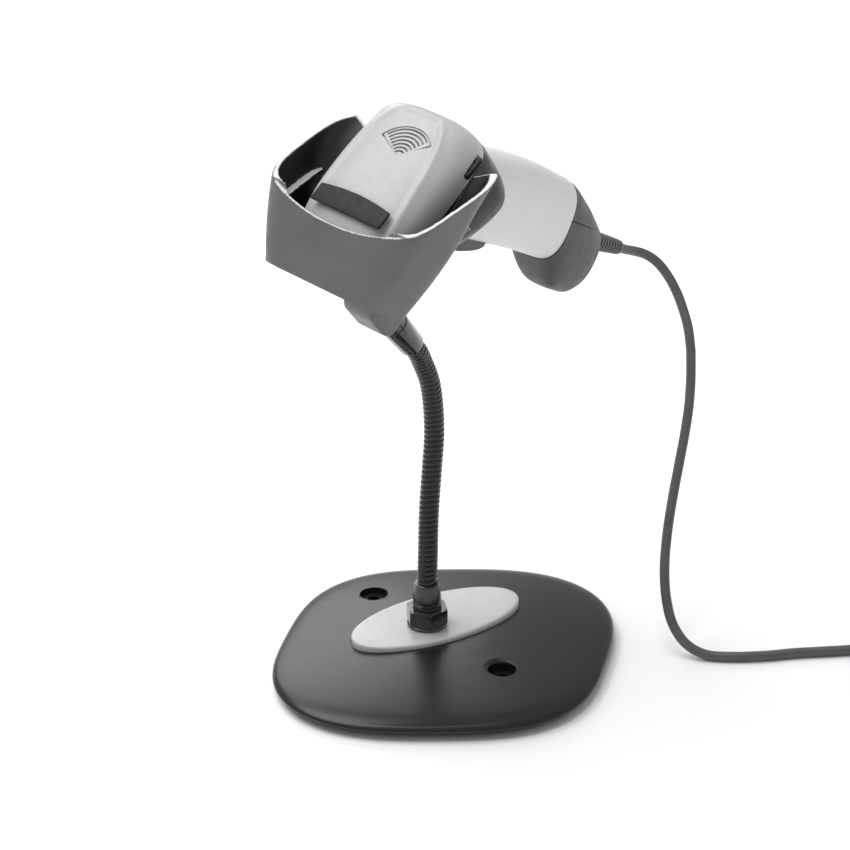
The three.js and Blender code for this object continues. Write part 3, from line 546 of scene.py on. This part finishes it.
def add_plug(materials):
    rear = (COIL_CENTRE[0] + PLUG_OFFSET[0], COIL_CENTRE[1] + PLUG_OFFSET[1], PLUG_AXIS_Z)
    turn = Matrix.Translation(Vector(rear) * MM)
    table = [
        (0, 3.6, 3.4), (0.6, 4.0, 3.6), (3, 4.2, 3.7), (5, 7.2, 3.85), (6.5, 7.8, 3.95), (8, 8, 4), (23, 8, 4),
        (25.4, 7.7, 3.8), (26, 7.2, 3.4),
    ]
    rings = [in_plane(oval(w, -h, h, 4.5, 64), along, "xzy") for along, w, h in table]
    body = build("usb_plug_overmould", loft(rings), place=turn)
    grips = [
        cushion_block(x, x + 1.5, a, a + 1.2, -2.4, 2.4, 0.3, 0.2) for x in (-9, 7.5) for a in (11, 14, 17, 20)
    ]
    cut(body, *grips, place=turn)
    finish_piece(body, materials["cable_jacket"], "cable_jacket", "stand_base", "usb_overmould")
    shell = build("usb_plug_shell", cushion_block(-6, 6, -2.25, 2.25, 26.3, 38.3, 0.5, 0.25, "xzy"), place=turn)
    cut(shell, block(-5.65, 5.65, 26.9, 40, -1.9, 1.9), place=turn)
    cut(shell, *[block(a - 1.1, a + 1.1, 31.5, 34, 0, 4) for a in (-2.9, 2.9)], place=turn)
    finish_piece(shell, materials["steel"], "steel", "stand_base", "usb_shell")
    return [body, shell, frame["nodes"]["usb_contact_block"]]


def add_tie(materials):
    """Flat strap with rounded corners round the coil's section."""
    low, high, inner, outer = TIE_BOX
    corner, thickness, half_width = 1.6, 1.1, 3.6
    loop, inside = [], []
    corners = ((outer, high, 0), (inner, high, 90), (inner, low, 180), (outer, low, 270))
    for cx, cz, start in corners:
        sx, sz = (-1 if cx == outer else 1), (-1 if cz == high else 1)
        for t in np.radians(np.linspace(start, start + 90, 8)):
            centre = np.array([cx + sx * corner, cz + sz * corner])
            loop.append(centre + corner * np.array([cos(t), sin(t)]))
            inside.append(centre + (corner - thickness) * np.array([cos(t), sin(t)]))
    loop, inside = np.array(loop), np.array(inside)
    rings = [in_plane(loop, -half_width, "xzy"), in_plane(loop, half_width, "xzy")]
    rings += [in_plane(inside, half_width, "xzy"), in_plane(inside, -half_width, "xzy")]
    place = Matrix.Translation(Vector((*COIL_CENTRE, 0)) * MM) @ Matrix.Rotation(radians(TIE_BEARING), 4, "Z")
    tie = soften(build("coil_tie_strap", ring_loft(rings), place=place), 0.25)
    return finish_piece(tie, materials["base_plastic"], "base_plastic", "stand_base", "coil_tie")


# ---------- base ----------

FOOT = (-9, -4)
BASE_REACH = (82.5, 4.4, 4.2)     # mean radius, two-lobe term and four-lobe term
BASE_WALL = 2.4
PAD_CENTRE = (-12, 4)
PAD_TURN = radians(-7)
PAD_HALF = (21.5, 46)
PAD_TOP = 16.2
FIXING_X = (42, -56)
COVER_BOTTOM, COVER_TOP = 2.3, 14.0
DOME = [
    (0, 0.965), (0.1, 0.985), (0.25, 1), (0.4, 0.985), (0.5, 0.955), (0.6, 0.9), (0.7, 0.8), (0.8, 0.67),
    (0.88, 0.55), (0.95, 0.42), (1, 0.28),
]


def base_outline(scale, inset=0.0, count=220):
    a = np.linspace(0, 2 * pi, count, endpoint=False)
    from_y = a - pi / 2
    mean, two_lobe, four_lobe = BASE_REACH
    reach = (mean + two_lobe * np.cos(2 * from_y) + four_lobe * np.cos(4 * from_y)) * scale - inset
    return np.stack([reach * np.cos(a), reach * np.sin(a)], 1)


def add_base(materials):
    table = eased([(i, *row) for i, row in enumerate(DOME)], np.linspace(0, len(DOME) - 1, 80))
    rings = [in_plane(base_outline(k), COVER_BOTTOM + (COVER_TOP - COVER_BOTTOM) * min(h, 1)) for h, k in table]
    rings += [in_plane(base_outline(k), COVER_TOP + 0.1 * (1 - (k / 0.28) ** 2)) for k in (0.2, 0.1)]
    shell = build("base_cover", loft(rings), sharp=50)
    cavity = [(0, 0.965), (5, 0.985), (6.9, 0.93), (10, 0.72)]
    cut(shell, loft([in_plane(base_outline(k, BASE_WALL), h) for h, k in cavity]), sharp=50)
    for x in FIXING_X:
        top = fixing_top(x)
        boss = build("boss", turned([(9, COVER_BOTTOM), (9, top - 1.2)], 64, (x, 0, 0)))
        combine(shell, "UNION", boss, sharp=50)
        recess = [(6.6, 8), (6.6, top - 0.9), (6.75, top - 0.4), (7.2, top)]
        recess += [(7.9, top + 0.3), (9, top + 0.5), (9, 24)]
        cut(shell, turned(recess, 64, (x, 0, 0)), turned([(3.1, 0), (3.1, 9)], 40, (x, 0, 0)), sharp=50)
    seat = [(0.3, 11.5), (0.5, 11.5), (0.5, 24)]
    cut(shell, loft([in_plane(pad_outline(g), h) for g, h in seat]), sharp=50)
    finish_piece(shell, materials["base_plastic"], "base_plastic", "stand_base", "base_shell")

    tread = [(0.905, 0), (0.92, 0.15), (0.93, 0.6), (0.93, 1.5), (0.925, 1.85), (0.915, 2)]
    mat = build("foot_tread", loft([in_plane(base_outline(k), h) for k, h in tread]))
    cut(mat, *[turned([(3.9, -1), (3.9, 3)], 40, (x, 0, 0)) for x in FIXING_X])
    finish_piece(mat, materials["rubber"], "rubber", "stand_base", "foot_mat")

    edge = [(-1.0, 4.4), (0, 4.2), (0, 1.3), (-0.15, 0.7), (-0.5, 0.25), (-1.1, 0.05), (-2.2, 0)]
    pad = build("pad_plate", loft([in_plane(pad_outline(g), PAD_TOP - h) for g, h in edge]), sharp=60)
    cut(pad, turned([(4.3, 10), (4.3, 30)], 40, (*FOOT, 0)), sharp=60)
    finish_piece(pad, materials["pad_metal"], "pad_metal", "stand_base", "top_pad")


def fixing_top(x):
    """Height of the cover's surface at a fixing hole."""
    heights, scales = np.array(DOME[2:]).T
    share = np.interp(-abs(x) / base_outline(1)[0, 0], -scales, heights)
    return COVER_BOTTOM + (COVER_TOP - COVER_BOTTOM) * share


def pad_outline(grow, count=160):
    a = np.linspace(0, 2 * pi, count, endpoint=False)
    across, along = (PAD_HALF[0] + grow) * np.cos(a), (PAD_HALF[1] + grow) * np.sin(a)
    x = PAD_CENTRE[0] + across * cos(PAD_TURN) - along * sin(PAD_TURN)
    return np.stack([x, PAD_CENTRE[1] + across * sin(PAD_TURN) + along * cos(PAD_TURN)], 1)


def add_neck_foot(materials):
    base = PAD_TOP + GAP
    washer = turned_ring([
        (4.3, 0), (9.3, 0), (9.7, 0.2), (9.7, 1.1), (9.3, 1.5), (4.3, 1.5),
    ], centre=(*FOOT, base))
    disc = build("neck_washer", washer)
    finish_piece(disc, materials["black_steel"], "black_steel", "stand_base", "foot_washer")

    a = np.linspace(0, 2 * pi, 240, endpoint=False)
    half_across_corners, chamfer_radius, chamfer_slope = 10.5, 9.6, 1.9
    flat = half_across_corners * cos(pi / 6) / np.cos((a + pi / 6) % (pi / 3) - pi / 6)
    low, high = base + 1.8, base + 9.2
    rows = []
    for z in np.linspace(low, high, 34):
        r = np.minimum(flat, chamfer_radius + chamfer_slope * min(z - low, high - z))
        rows.append(np.stack([FOOT[0] + r * np.cos(a), FOOT[1] + r * np.sin(a), np.full(len(a), z)], 1))
    bore = np.stack([FOOT[0] + 4.3 * np.cos(a), FOOT[1] + 4.3 * np.sin(a)], 1)
    rows += [in_plane(bore, high), in_plane(bore, low)]
    nut = build("neck_nut", ring_loft(rows), sharp=20)
    finish_piece(nut, materials["black_steel"], "black_steel", "stand_base", "foot_nut")

    profile = [
        (6.3, 0), (6.9, 0.3), (6.9, 2.6), (6.6, 2.9), (6.6, 3.6), (6.85, 3.9), (6.2, 12), (5.9, 12.8),
        (5.5, 13), (4.4, 13), (4.3, 9.4), (4.3, 0),
    ]
    collar = build("neck_collar", turned_ring(profile, centre=(*FOOT, base + 9.5)))
    finish_piece(collar, materials["black_steel"], "black_steel", "stand_base", "lower_collar")


# ---------- neck ----------

COLLAR_DIRECTION = np.array([0, -cos(radians(23)), sin(radians(23))])
HOSE_END = np.array([0, 67.9, -17.4])
COLLAR_LENGTH = 26
HOSE_POINTS = [
    (-9, -4, 39.3), (-9, -3.6, 52), (-9.4, -2.6, 76), (-9.9, -0.4, 98), (-10, 1, 115),
    (-9.8, 0.2, 130), (-9, -2.6, 144), (-7.8, -8, 156),
]
WIND_PITCH = 2.6
WIND_HEIGHT = 0.65
HOSE_ROOT = 4.25


def in_object(point):
    """Cup-frame point in the object's frame, both in millimetres."""
    return np.array(CUP @ Vector(np.asarray(point) * MM)) / MM


def add_hose(materials):
    top = [in_object(HOSE_END - 6 * COLLAR_DIRECTION), in_object(HOSE_END)]
    path = spaced(spline([*HOSE_POINTS, *top]), WIND_PITCH / 10)

    def wound(s, angles):
        phase = (s / WIND_PITCH - angles / (2 * pi)) % 1
        return HOSE_ROOT + WIND_HEIGHT * np.sin(pi * phase) ** 0.5
    hose = build("wound_hose", sweep(path, wound, sides=28), sharp=80)
    finish_piece(hose, materials["hose_steel"], "hose_steel", None, "hose_lower", "hose_upper")
    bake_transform(hose)

    start = HOSE_END + COLLAR_DIRECTION * GAP
    axis = Vector(COLLAR_DIRECTION).to_track_quat("Z", "X").to_matrix().to_4x4()
    place = CUP @ Matrix.Translation(Vector(start) * MM) @ axis
    profile = [
        (5.2, 0), (5.9, 0.3), (6.1, 0.9), (6.75, 20.4), (6.4, 20.8), (6.4, 21.6),
        (6.9, 22), (6.9, 25.6), (6.4, 26),
    ]
    collar = build("cup_collar", turned(profile), place=place)
    finish_piece(collar, materials["black_steel"], "black_steel", "cup", "upper_collar")


# ---------- cup ----------

CUP_SECTIONS = [
    (0, 33.5, -17, 16.5), (18, 40.5, -19, 17.5), (37, 45.6, -20.8, 19), (56, 47.6, -21.5, 21.5),
    (76, 48.4, -22, 28),
]
CUP_TOP = CUP_SECTIONS[-1][0]
CUP_WALL = 2.2
RIM_DIP = 27.5
RIM_CORNER = (46, 37.5)
SILL = 6.6
SLOT_HALF_WIDTH = 31.8
EAR_TIP = (44, 73.4)
EAR_Y, EAR_RADIUS = 25.5, 5.5
FRONT_RIM = 35.2                  # highest the front wall reaches, at its corners
BRACKET_HALF_WIDTH, BRACKET_REACH = 9, 7.6


def cup_solid(inset, low, high):
    heights = np.linspace(low, high, 40)
    table = eased(CUP_SECTIONS, np.clip(heights, 0, CUP_TOP))
    rings = [
        in_plane(oval(w - inset, front + inset, back - inset, 5, 180), z)
        for z, (w, front, back) in zip(heights, table)
    ]
    return loft(rings)


def add_cup(materials):
    tall, wide = 90, 62
    cup = build("cup_wall", cup_solid(0, 0, CUP_TOP), sharp=50)
    cut(cup, cup_solid(CUP_WALL, -3, CUP_TOP + 3), sharp=50)
    tip = EAR_TIP[1] - EAR_RADIUS
    side = [(-17.6, 35.6), (-12, 41.6), (0, 52.8), (12, 63.2), (17, 67.6)]
    bearings = np.radians(np.arange(145, 14, -10))
    side += [(EAR_Y + EAR_RADIUS * cos(a), tip + EAR_RADIUS * sin(a)) for a in bearings]
    side = spline([(-24, FRONT_RIM), (-20, FRONT_RIM), *side], 8)
    outline = [(-wide, tall), (-wide, FRONT_RIM), *side[:, :2], (wide, 62), (wide, tall)]
    cut(cup, prism(outline, -wide, wide, "yzx"), sharp=50)
    share = np.linspace(-1, 1, 41)
    dip = np.stack([share * RIM_CORNER[0], RIM_DIP + (RIM_CORNER[1] - RIM_DIP) * share**2], 1)
    front = [*dip, (RIM_CORNER[0], tall), (-RIM_CORNER[0], tall)]
    cut(cup, prism(front, -wide, -17.6, "xzy"), sharp=50)
    lips = [(-EAR_TIP[0], EAR_TIP[1]), (-SLOT_HALF_WIDTH, EAR_TIP[1] - 6), (SLOT_HALF_WIDTH, EAR_TIP[1] - 6)]
    lips += [EAR_TIP, (EAR_TIP[0], tall), (-EAR_TIP[0], tall)]
    cut(cup, prism(lips, 17.2, wide, "xzy"), sharp=50)
    cut(cup, cushion_block(-SLOT_HALF_WIDTH, SLOT_HALF_WIDTH, SILL, 120, 8, 80, 3, 0.1, "xzy"), sharp=50)
    ribs = []
    for sign in (-1, 1):
        rings = []
        for y, z, w in ((-12, 24, 41.5), (0, 33, 43.5), (12, 43, 44.6), (17, 47, 45.2)):
            outer, inner = sign * w, sign * (w - 4)
            corners = [(outer, z - 0.6), (inner, z - 0.6), (inner, z + 0.6), (outer, z + 0.6)]
            rings.append(in_plane(np.array(corners), y, "xzy"))
        ribs.append(build("rib", loft(rings), sharp=50))
    combine(cup, "UNION", *ribs, sharp=50)
    rounded_wall(cup)
    mark_cup_painted_light(cup)
    cup.data.transform(CUP)
    finish_piece(cup, materials["cup_plastic"], "cup_plastic", "cup", "cup_shell")
    add_bracket(materials)


def mark_cup_painted_light(cup):
    """Marks the rim's crest for a painted highlight and the wall's inner side for painted shade, for the
    material.
    """
    count = len(cup.data.vertices)
    points, normals = np.zeros(3 * count), np.zeros(3 * count)
    cup.data.vertices.foreach_get("co", points)
    cup.data.vertices.foreach_get("normal", normals)
    (x, y, z), (nx, ny, nz) = points.reshape(-1, 3).T / MM, normals.reshape(-1, 3).T
    middle = 0.5 * (CUP_SECTIONS[1][2] + CUP_SECTIONS[1][3])
    across, along = x / RIM_CORNER[0], (y - middle) / 20
    outward = (nx * across + ny * along) / np.maximum(np.hypot(across, along), 1e-3)
    # rim: painted highlight on the up-facing crest; inside: painted shade on the inner wall
    values = {
        "rim": ease((nz - 0.45) / 0.25) * ease((z - 20) / 4),
        "inside": ease((-outward - 0.1) / 0.3),
    }
    for name, value in values.items():
        layer = cup.data.attributes.new(name, "FLOAT", "POINT")
        layer.data.foreach_set("value", value.astype(np.float32))


def rounded_wall(obj, voxel=0.55, passes=3):
    """Remeshes a thin-walled piece finely so that its rims come out rounded."""
    change = obj.modifiers.new("remesh", "REMESH")
    change.mode = "VOXEL"
    change.voxel_size = voxel * MM
    settle(obj)
    relax = obj.modifiers.new("relax", "SMOOTH")
    relax.factor = 0.5
    relax.iterations = passes
    settle(obj)
    obj.data.shade_smooth()


def add_bracket(materials):
    side = np.array([0, COLLAR_DIRECTION[2], -COLLAR_DIRECTION[1]])
    face = HOSE_END + COLLAR_DIRECTION * (COLLAR_LENGTH + 2 * GAP)
    high, low = face + side * BRACKET_REACH, face - side * BRACKET_REACH
    outline = [
        (16.93, 0.5), (17.23, 6), (20.7, 6.4), (high[1], high[2]), (low[1], low[2]),
        (low[1] - 5, low[2] - 0.6), (20.9, -8.5), (16.9, -3),
    ]
    block_shape = prism(outline, -BRACKET_HALF_WIDTH, BRACKET_HALF_WIDTH, "yzx")
    bracket = build("cup_bracket_block", block_shape, place=CUP)
    soften(bracket, 2.2, 5, 25)
    finish_piece(bracket, materials["bracket"], "cup_plastic", "cup", "cup_bracket")


# ---------- scanner ----------

HEAD_SECTIONS = [
    (11.6, 26, -21, 9), (20, 28.6, -23.6, 12), (32, 30.4, -26, 16), (46, 31, -27.2, 21),
    (60, 31, -27.6, 28), (74, 30.2, -27, 33), (84, 29.4, -26, 34),
]
HEAD_POWER = 3.4
DOME_START, DOME_END, DOME_POWER = 76, 91.5, 2.3
PARTING = -9
SHELL_WALL = 2.4
HANDLE_END = 127.7
HANDLE_POWER = 2.8
HANDLE_SECTIONS = [
    (38, 17.6, 35, 79), (60, 17.2, 36, 78.6), (85, 16.4, 36.6, 79.4), (108, 16, 37, 78.6),
    (HANDLE_END, 16.6, 36.4, 76.2),
]
PANEL_EDGE = [(10, 22.2), (30, 22.4), (48, 21.2), (62, 19.4), (72, 16.4), (80, 12), (88, 5)]


def sculpt_top(points):
    """Raises a ridge along each side of the top and sinks the panel between them."""
    x, y, z = points.T
    edge = eased(PANEL_EDGE, z)[:, 0]
    fade = ease((86 - z) / 10) * ease((PARTING - 4 - y) / 8)
    across = np.abs(x)
    sink = 0.55 * ease((edge - across) / 1.8)
    ridge = 0.7 * np.exp(-(((across - edge - 1.7) / 1.5) ** 2))
    points[:, 1] += fade * (sink - ridge)
    return points


def head_solid(inset=0.0, detail=False):
    nose = HEAD_SECTIONS[0][0]
    straight = np.linspace(nose - (3 if inset > 0 else 0), DOME_START, 64)
    table = eased(HEAD_SECTIONS, np.clip(straight, nose, None))
    rings = []
    count = 260 if detail else 96
    for z, (w, high, low) in zip(straight, table):
        rings.append(in_plane(oval(w - inset, high + inset, low - inset, HEAD_POWER, count), z))
    w, high, low = table[-1]
    for t in np.linspace(0, 1, 26)[1:]:
        angle = t * pi / 2
        z = DOME_START + (DOME_END - inset - DOME_START) * sin(angle) ** (2 / DOME_POWER)
        k = max(cos(angle), 1e-3) ** (2 / DOME_POWER)
        middle = (high + low) / 2 + 1.0 * (1 - k)
        half = (low - high) / 2 - inset
        power = HEAD_POWER - 0.8 * (1 - k)
        rings.append(in_plane(oval((w - inset) * k, middle - half * k, middle + half * k, power, count), z))
    if detail:
        rings = [sculpt_top(r) for r in rings]
    return loft(rings)


def handle_solid(inset=0.0, stretch=0.0):
    along = np.linspace(HANDLE_SECTIONS[0][0], HANDLE_END, 60)
    table = eased(HANDLE_SECTIONS, along)
    rings = []
    for y, (w, front, back) in zip(along, table):
        extra = stretch if y == along[-1] else 0
        section = oval(w - inset, front + inset, back - inset, HANDLE_POWER, 128)
        rings.append(in_plane(section, y + extra, "xzy"))
    return loft(rings)


def add_scanner(materials):
    wide = 70
    port = block(-19, 19, -11, 1.5, 5, 16)
    trigger_slot = block(-8.5, 8.5, 48, 83.4, 20, 43)

    def hollow_head(name):
        outer = build(name, head_solid(detail=True), place=HEAD, sharp=60)
        return cut(outer, head_solid(SHELL_WALL), place=HEAD, sharp=60)

    top = hollow_head("top_cover")
    cut(top, block(-wide, wide, PARTING - 0.25, 140, -40, 200), place=HEAD, sharp=45)
    cut(top, port, place=HEAD)
    cut(top, label_shape(0.35, -60, -25.6), place=HEAD)
    cut(top, *grille_recess(), place=HEAD)
    cut(top, cushion_block(28, 40, 67.4, 79.6, -13.4, PARTING - 1.1, 0.8, 0.3, "xzy"), place=HEAD)
    finish_piece(top, materials["light_plastic"], "light_plastic", "scanner", "top_shell")

    body = hollow_head("body_cover")
    cut(body, block(-wide, wide, -140, PARTING + 0.25, -40, 200), place=HEAD, sharp=45)
    cut(body, port, place=HEAD)
    cut(body, handle_solid(SHELL_WALL, 5), trigger_slot, place=CUP)
    finish_piece(body, materials["dark_plastic"], "dark_plastic", "scanner", "body_shell")

    handle = build("handle_cover", handle_solid(), place=CUP, sharp=60)
    cut(handle, handle_solid(SHELL_WALL, 5), place=CUP, sharp=60)
    cut(handle, head_solid(-GAP), place=HEAD, sharp=60)
    cut(handle, trigger_slot, place=CUP)
    # the handle takes the brighter copy of the light grey, painted light
    finish_piece(handle, materials["handle_plastic"], "light_plastic", "scanner", "handle_shell")
    add_trim(materials)
    add_nose(materials)
    add_end_cap(materials)
    add_trigger(materials)


def label_shape(grow, low, high):
    """Plate outline: straight sides, and a far edge that bows away from the nose."""
    half, near, far, rise = 20.5, 24, 32.6, 1.9
    bow = [(x, far + rise * (1 - (x / half) ** 2)) for x in np.linspace(half, -half, 25)]
    outline = np.array([(-half, near), (half, near), *bow])
    centre = outline.mean(0)
    scale = 1 + grow / np.array([half, 5.3])
    return prism(centre + (outline - centre) * scale, low, high, "xzy")


GRILLE = (4.0, 58.2)              # across and along of the corner from which the grille's arcs spread


def fan(inner, outer, low, high, start=52, end=147, steps=36):
    """Sector between two radii, as a prism normal to the top of the head."""
    a = np.radians(np.linspace(start, end, steps))
    rim = [(GRILLE[0] + outer * cos(t), GRILLE[1] + outer * sin(t)) for t in a]
    back = [(GRILLE[0] + inner * cos(t), GRILLE[1] + inner * sin(t)) for t in a[::-1]]
    return prism([*rim, *back], low, high, "xzy")


def grille_recess():
    return [fan(0.4, 15.9, -40, -25.3, 42, 156)]


def add_trim(materials):
    plate = soften(build("blank_label", label_shape(0, -26.9, -25.7), place=HEAD), 0.25, 3)
    finish_piece(plate, materials["label"], "dark_plastic", "scanner", "label_plate")

    grille = build("grille_disc", fan(0.9, 15.3, -26.4, -24.6, 45, 153), place=HEAD)
    slots = [fan(r, r + 1.0, -27.5, -25.3) for r in np.arange(2.4, 14.4, 1.9)]
    cut(grille, *slots, place=HEAD)
    finish_piece(grille, materials["light_plastic"], "light_plastic", "scanner", "beeper_grille")

    lens_shape = cushion_block(28.9, 31.0, 68, 79, -13.1, PARTING - 1.4, 0.6, 0.3, "xzy")
    lens = build("status_lens", lens_shape, place=HEAD)
    cut(lens, cushion_block(30.2, 34, 69.2, 77.8, -12.3, PARTING - 2.2, 0.4, 0.1, "xzy"), place=HEAD)
    finish_piece(lens, materials["dark_plastic"], "led_lens", "scanner", "led_window")


def add_nose(materials):
    table = [(6.3, -1.8), (6.5, -1.1), (7.0, -0.5), (7.9, -0.1), (9, 0), (11.3, 0)]
    rings = [in_plane(oval(26 + g, -21 - g, 9 + g, HEAD_POWER, 160), z) for z, g in table]
    bezel = build("nose_ring", loft(rings), place=HEAD)
    cut(bezel, cushion_block(-21, 21, -13, 3.5, 5, 12, 1.6, 0.1), place=HEAD)
    finish_piece(bezel, materials["dark_plastic"], "dark_plastic", "scanner", "nose_bezel")
    pane = build("reading_window", cushion_block(-20.7, 20.7, -12.7, 3.2, 7.7, 9.7, 1.4, 0.3), place=HEAD)
    finish_piece(pane, materials["window"], "window", "scanner", "scan_window")


CAP_START, CAP_END = 128.0, 167.0
CAP_SECTIONS = [
    (CAP_START, 16.9, 36, 76.4), (134, 17.2, 29.5, 75), (141, 17, 24.6, 72), (150, 16.4, 23.4, 67.6),
    (158, 15, 24.2, 63), (164, 12.6, 30, 59.6), (CAP_END, 9.6, 38, 57),
]
RELIEF_Z = 51


def cap_ring(row, along, count=150):
    """Rounded above, and flatter sided with firmer corners below."""
    half_width, front, back = row
    a = np.linspace(0, 2 * pi, 1440, endpoint=False)
    power = np.where(np.sin(a) < 0, 3.4, 2.5)
    across = np.sign(np.cos(a)) * half_width * np.abs(np.cos(a)) ** (2 / power)
    up = (front + back) / 2 + np.sign(np.sin(a)) * (back - front) / 2 * np.abs(np.sin(a)) ** (2 / power)
    narrow = 1 - 0.16 * ease((46 - up) / 24)
    return in_plane(even_loop(np.stack([across * narrow, up], 1), count), along, "xzy")


def add_end_cap(materials):
    along = np.linspace(CAP_START, CAP_END, 60)
    table = eased(CAP_SECTIONS, along)
    rings = [cap_ring(row, y) for y, row in zip(along, table)]
    relief_place = (
        CUP @ Matrix.Translation(Vector((0, CAP_END + GAP, RELIEF_Z)) * MM)
        @ Matrix.Rotation(radians(-90), 4, "X")
    )
    cap = build("handle_end_cap", loft(rings), place=CUP, sharp=50)
    cut(cap, turned([(3.7, -24), (3.7, 12)], 40), place=relief_place, sharp=50)
    seam = [(120, 59.2), (190, 55.6), (190, 56.1), (120, 59.7)]
    cut(cap, prism(seam, 14.2, 30, "yzx"), prism(seam, -30, -14.2, "yzx"), place=CUP, sharp=50)
    finish_piece(cap, materials["cap_plastic"], "cap_plastic", "scanner", "end_cap")

    profile = [(3.4, -14), (3.4, 0), (5.0, 0), (5.2, 0.3), (5.2, 6.6), (4.9, 7.0)]
    for i in range(8):
        start = 7.6 + 2.6 * i
        out = 4.75 - 0.14 * i
        profile += [(out - 0.75, start), (out - 0.75, start + 0.6), (out, start + 0.9), (out, start + 2.2)]
    profile += [(3.5, 29), (3.4, 29.7), (2.9, 30)]
    relief = build("strain_relief_sleeve", turned(profile, 56), place=relief_place)
    finish_piece(relief, materials["cable_jacket"], "cable_jacket", "scanner", "strain_relief")


def add_trigger(materials):
    y, z = 55, 41
    outline = spline([
        (y - 3.4, z + 1), (y - 3.6, z - 3), (y - 1, z - 8.4), (y + 6, z - 10.4), (y + 16, z - 9.2),
        (y + 24, z - 7), (y + 26.8, z - 4.8), (y + 26.4, z - 3), (y + 16, z - 2.8), (y + 6, z + 0.6),
        (y + 2.4, z + 2.8), (y - 2.2, z + 2.8),
    ], 6)
    lever = build("trigger_lever", prism(outline[:, :2], -8.2, 8.2, "yzx"), place=CUP, sharp=50)
    soften(lever, 1.2, 4, 50, 50)
    finish_piece(lever, materials["cap_plastic"], "cap_plastic", "trigger", "trigger")


# ---------- CAD nodes that stay ----------

def paint_cad_nodes(materials):
    for part in frame["record"]["subparts"]:
        node = frame["nodes"][part["node"]]
        if node.hide_render:
            continue
        for slot in node.material_slots:
            slot.material = materials[part["material_slot"]]


# ---------- floor and light ----------

def add_stage():
    material = bpy.data.materials.new("floor_white")
    material.use_nodes = True
    nodes, links = material.node_tree.nodes, material.node_tree.links
    shader = nodes["Principled BSDF"]
    shader.inputs["Roughness"].default_value = 0.75
    mottle = nodes.new("ShaderNodeTexNoise")
    mottle.inputs["Scale"].default_value = 3
    tone = nodes.new("ShaderNodeMapRange")
    tone.inputs["To Min"].default_value = 0.93
    tone.inputs["To Max"].default_value = 0.96
    links.new(mottle.outputs["Fac"], tone.inputs["Value"])
    links.new(tone.outputs["Result"], shader.inputs["Base Color"])
    data = bpy.data.meshes.new("floor")
    half = 6
    corners = [(-half, -half, 0), (half, -half, 0), (half, half, 0), (-half, half, 0)]
    data.from_pydata(corners, [], [[0, 1, 2, 3]])
    floor = bpy.data.objects.new("floor", data)
    data.materials.append(material)
    bpy.context.scene.collection.objects.link(floor)

    world = bpy.data.worlds.new("studio")
    world.use_nodes = True
    world.node_tree.nodes["Background"].inputs["Color"].default_value = (1, 1, 1, 1)
    world.node_tree.nodes["Background"].inputs["Strength"].default_value = 0.5
    bpy.context.scene.world = world
    key = bpy.data.lights.new("key", "SUN")
    key.energy = 2.2
    key.angle = radians(50)
    sun = bpy.data.objects.new("key", key)
    sun.rotation_mode = "QUATERNION"
    sun.rotation_quaternion = Vector((0.5, 0.35, -1.5)).to_track_quat("-Z", "Y")
    bpy.context.scene.collection.objects.link(sun)
    soft_box("side", (-1.2, 0.5, 0.8), 0.8, 5)
    bpy.context.scene.view_settings.view_transform = "Standard"


def soft_box(name, position, size, power):
    data = bpy.data.lights.new(name, "AREA")
    data.size = size
    data.energy = power
    light = bpy.data.objects.new(name, data)
    light.location = position
    light.rotation_mode = "QUATERNION"
    light.rotation_quaternion = (Vector((0, 0, 0.12)) - Vector(position)).to_track_quat("-Z", "Y")
    bpy.context.scene.collection.objects.link(light)


# ---------- assembly ----------

add_camera()
materials = make_materials()
add_cable(materials)
add_base(materials)
add_neck_foot(materials)
add_hose(materials)
add_cup(materials)
add_scanner(materials)
paint_cad_nodes(materials)
add_stage()
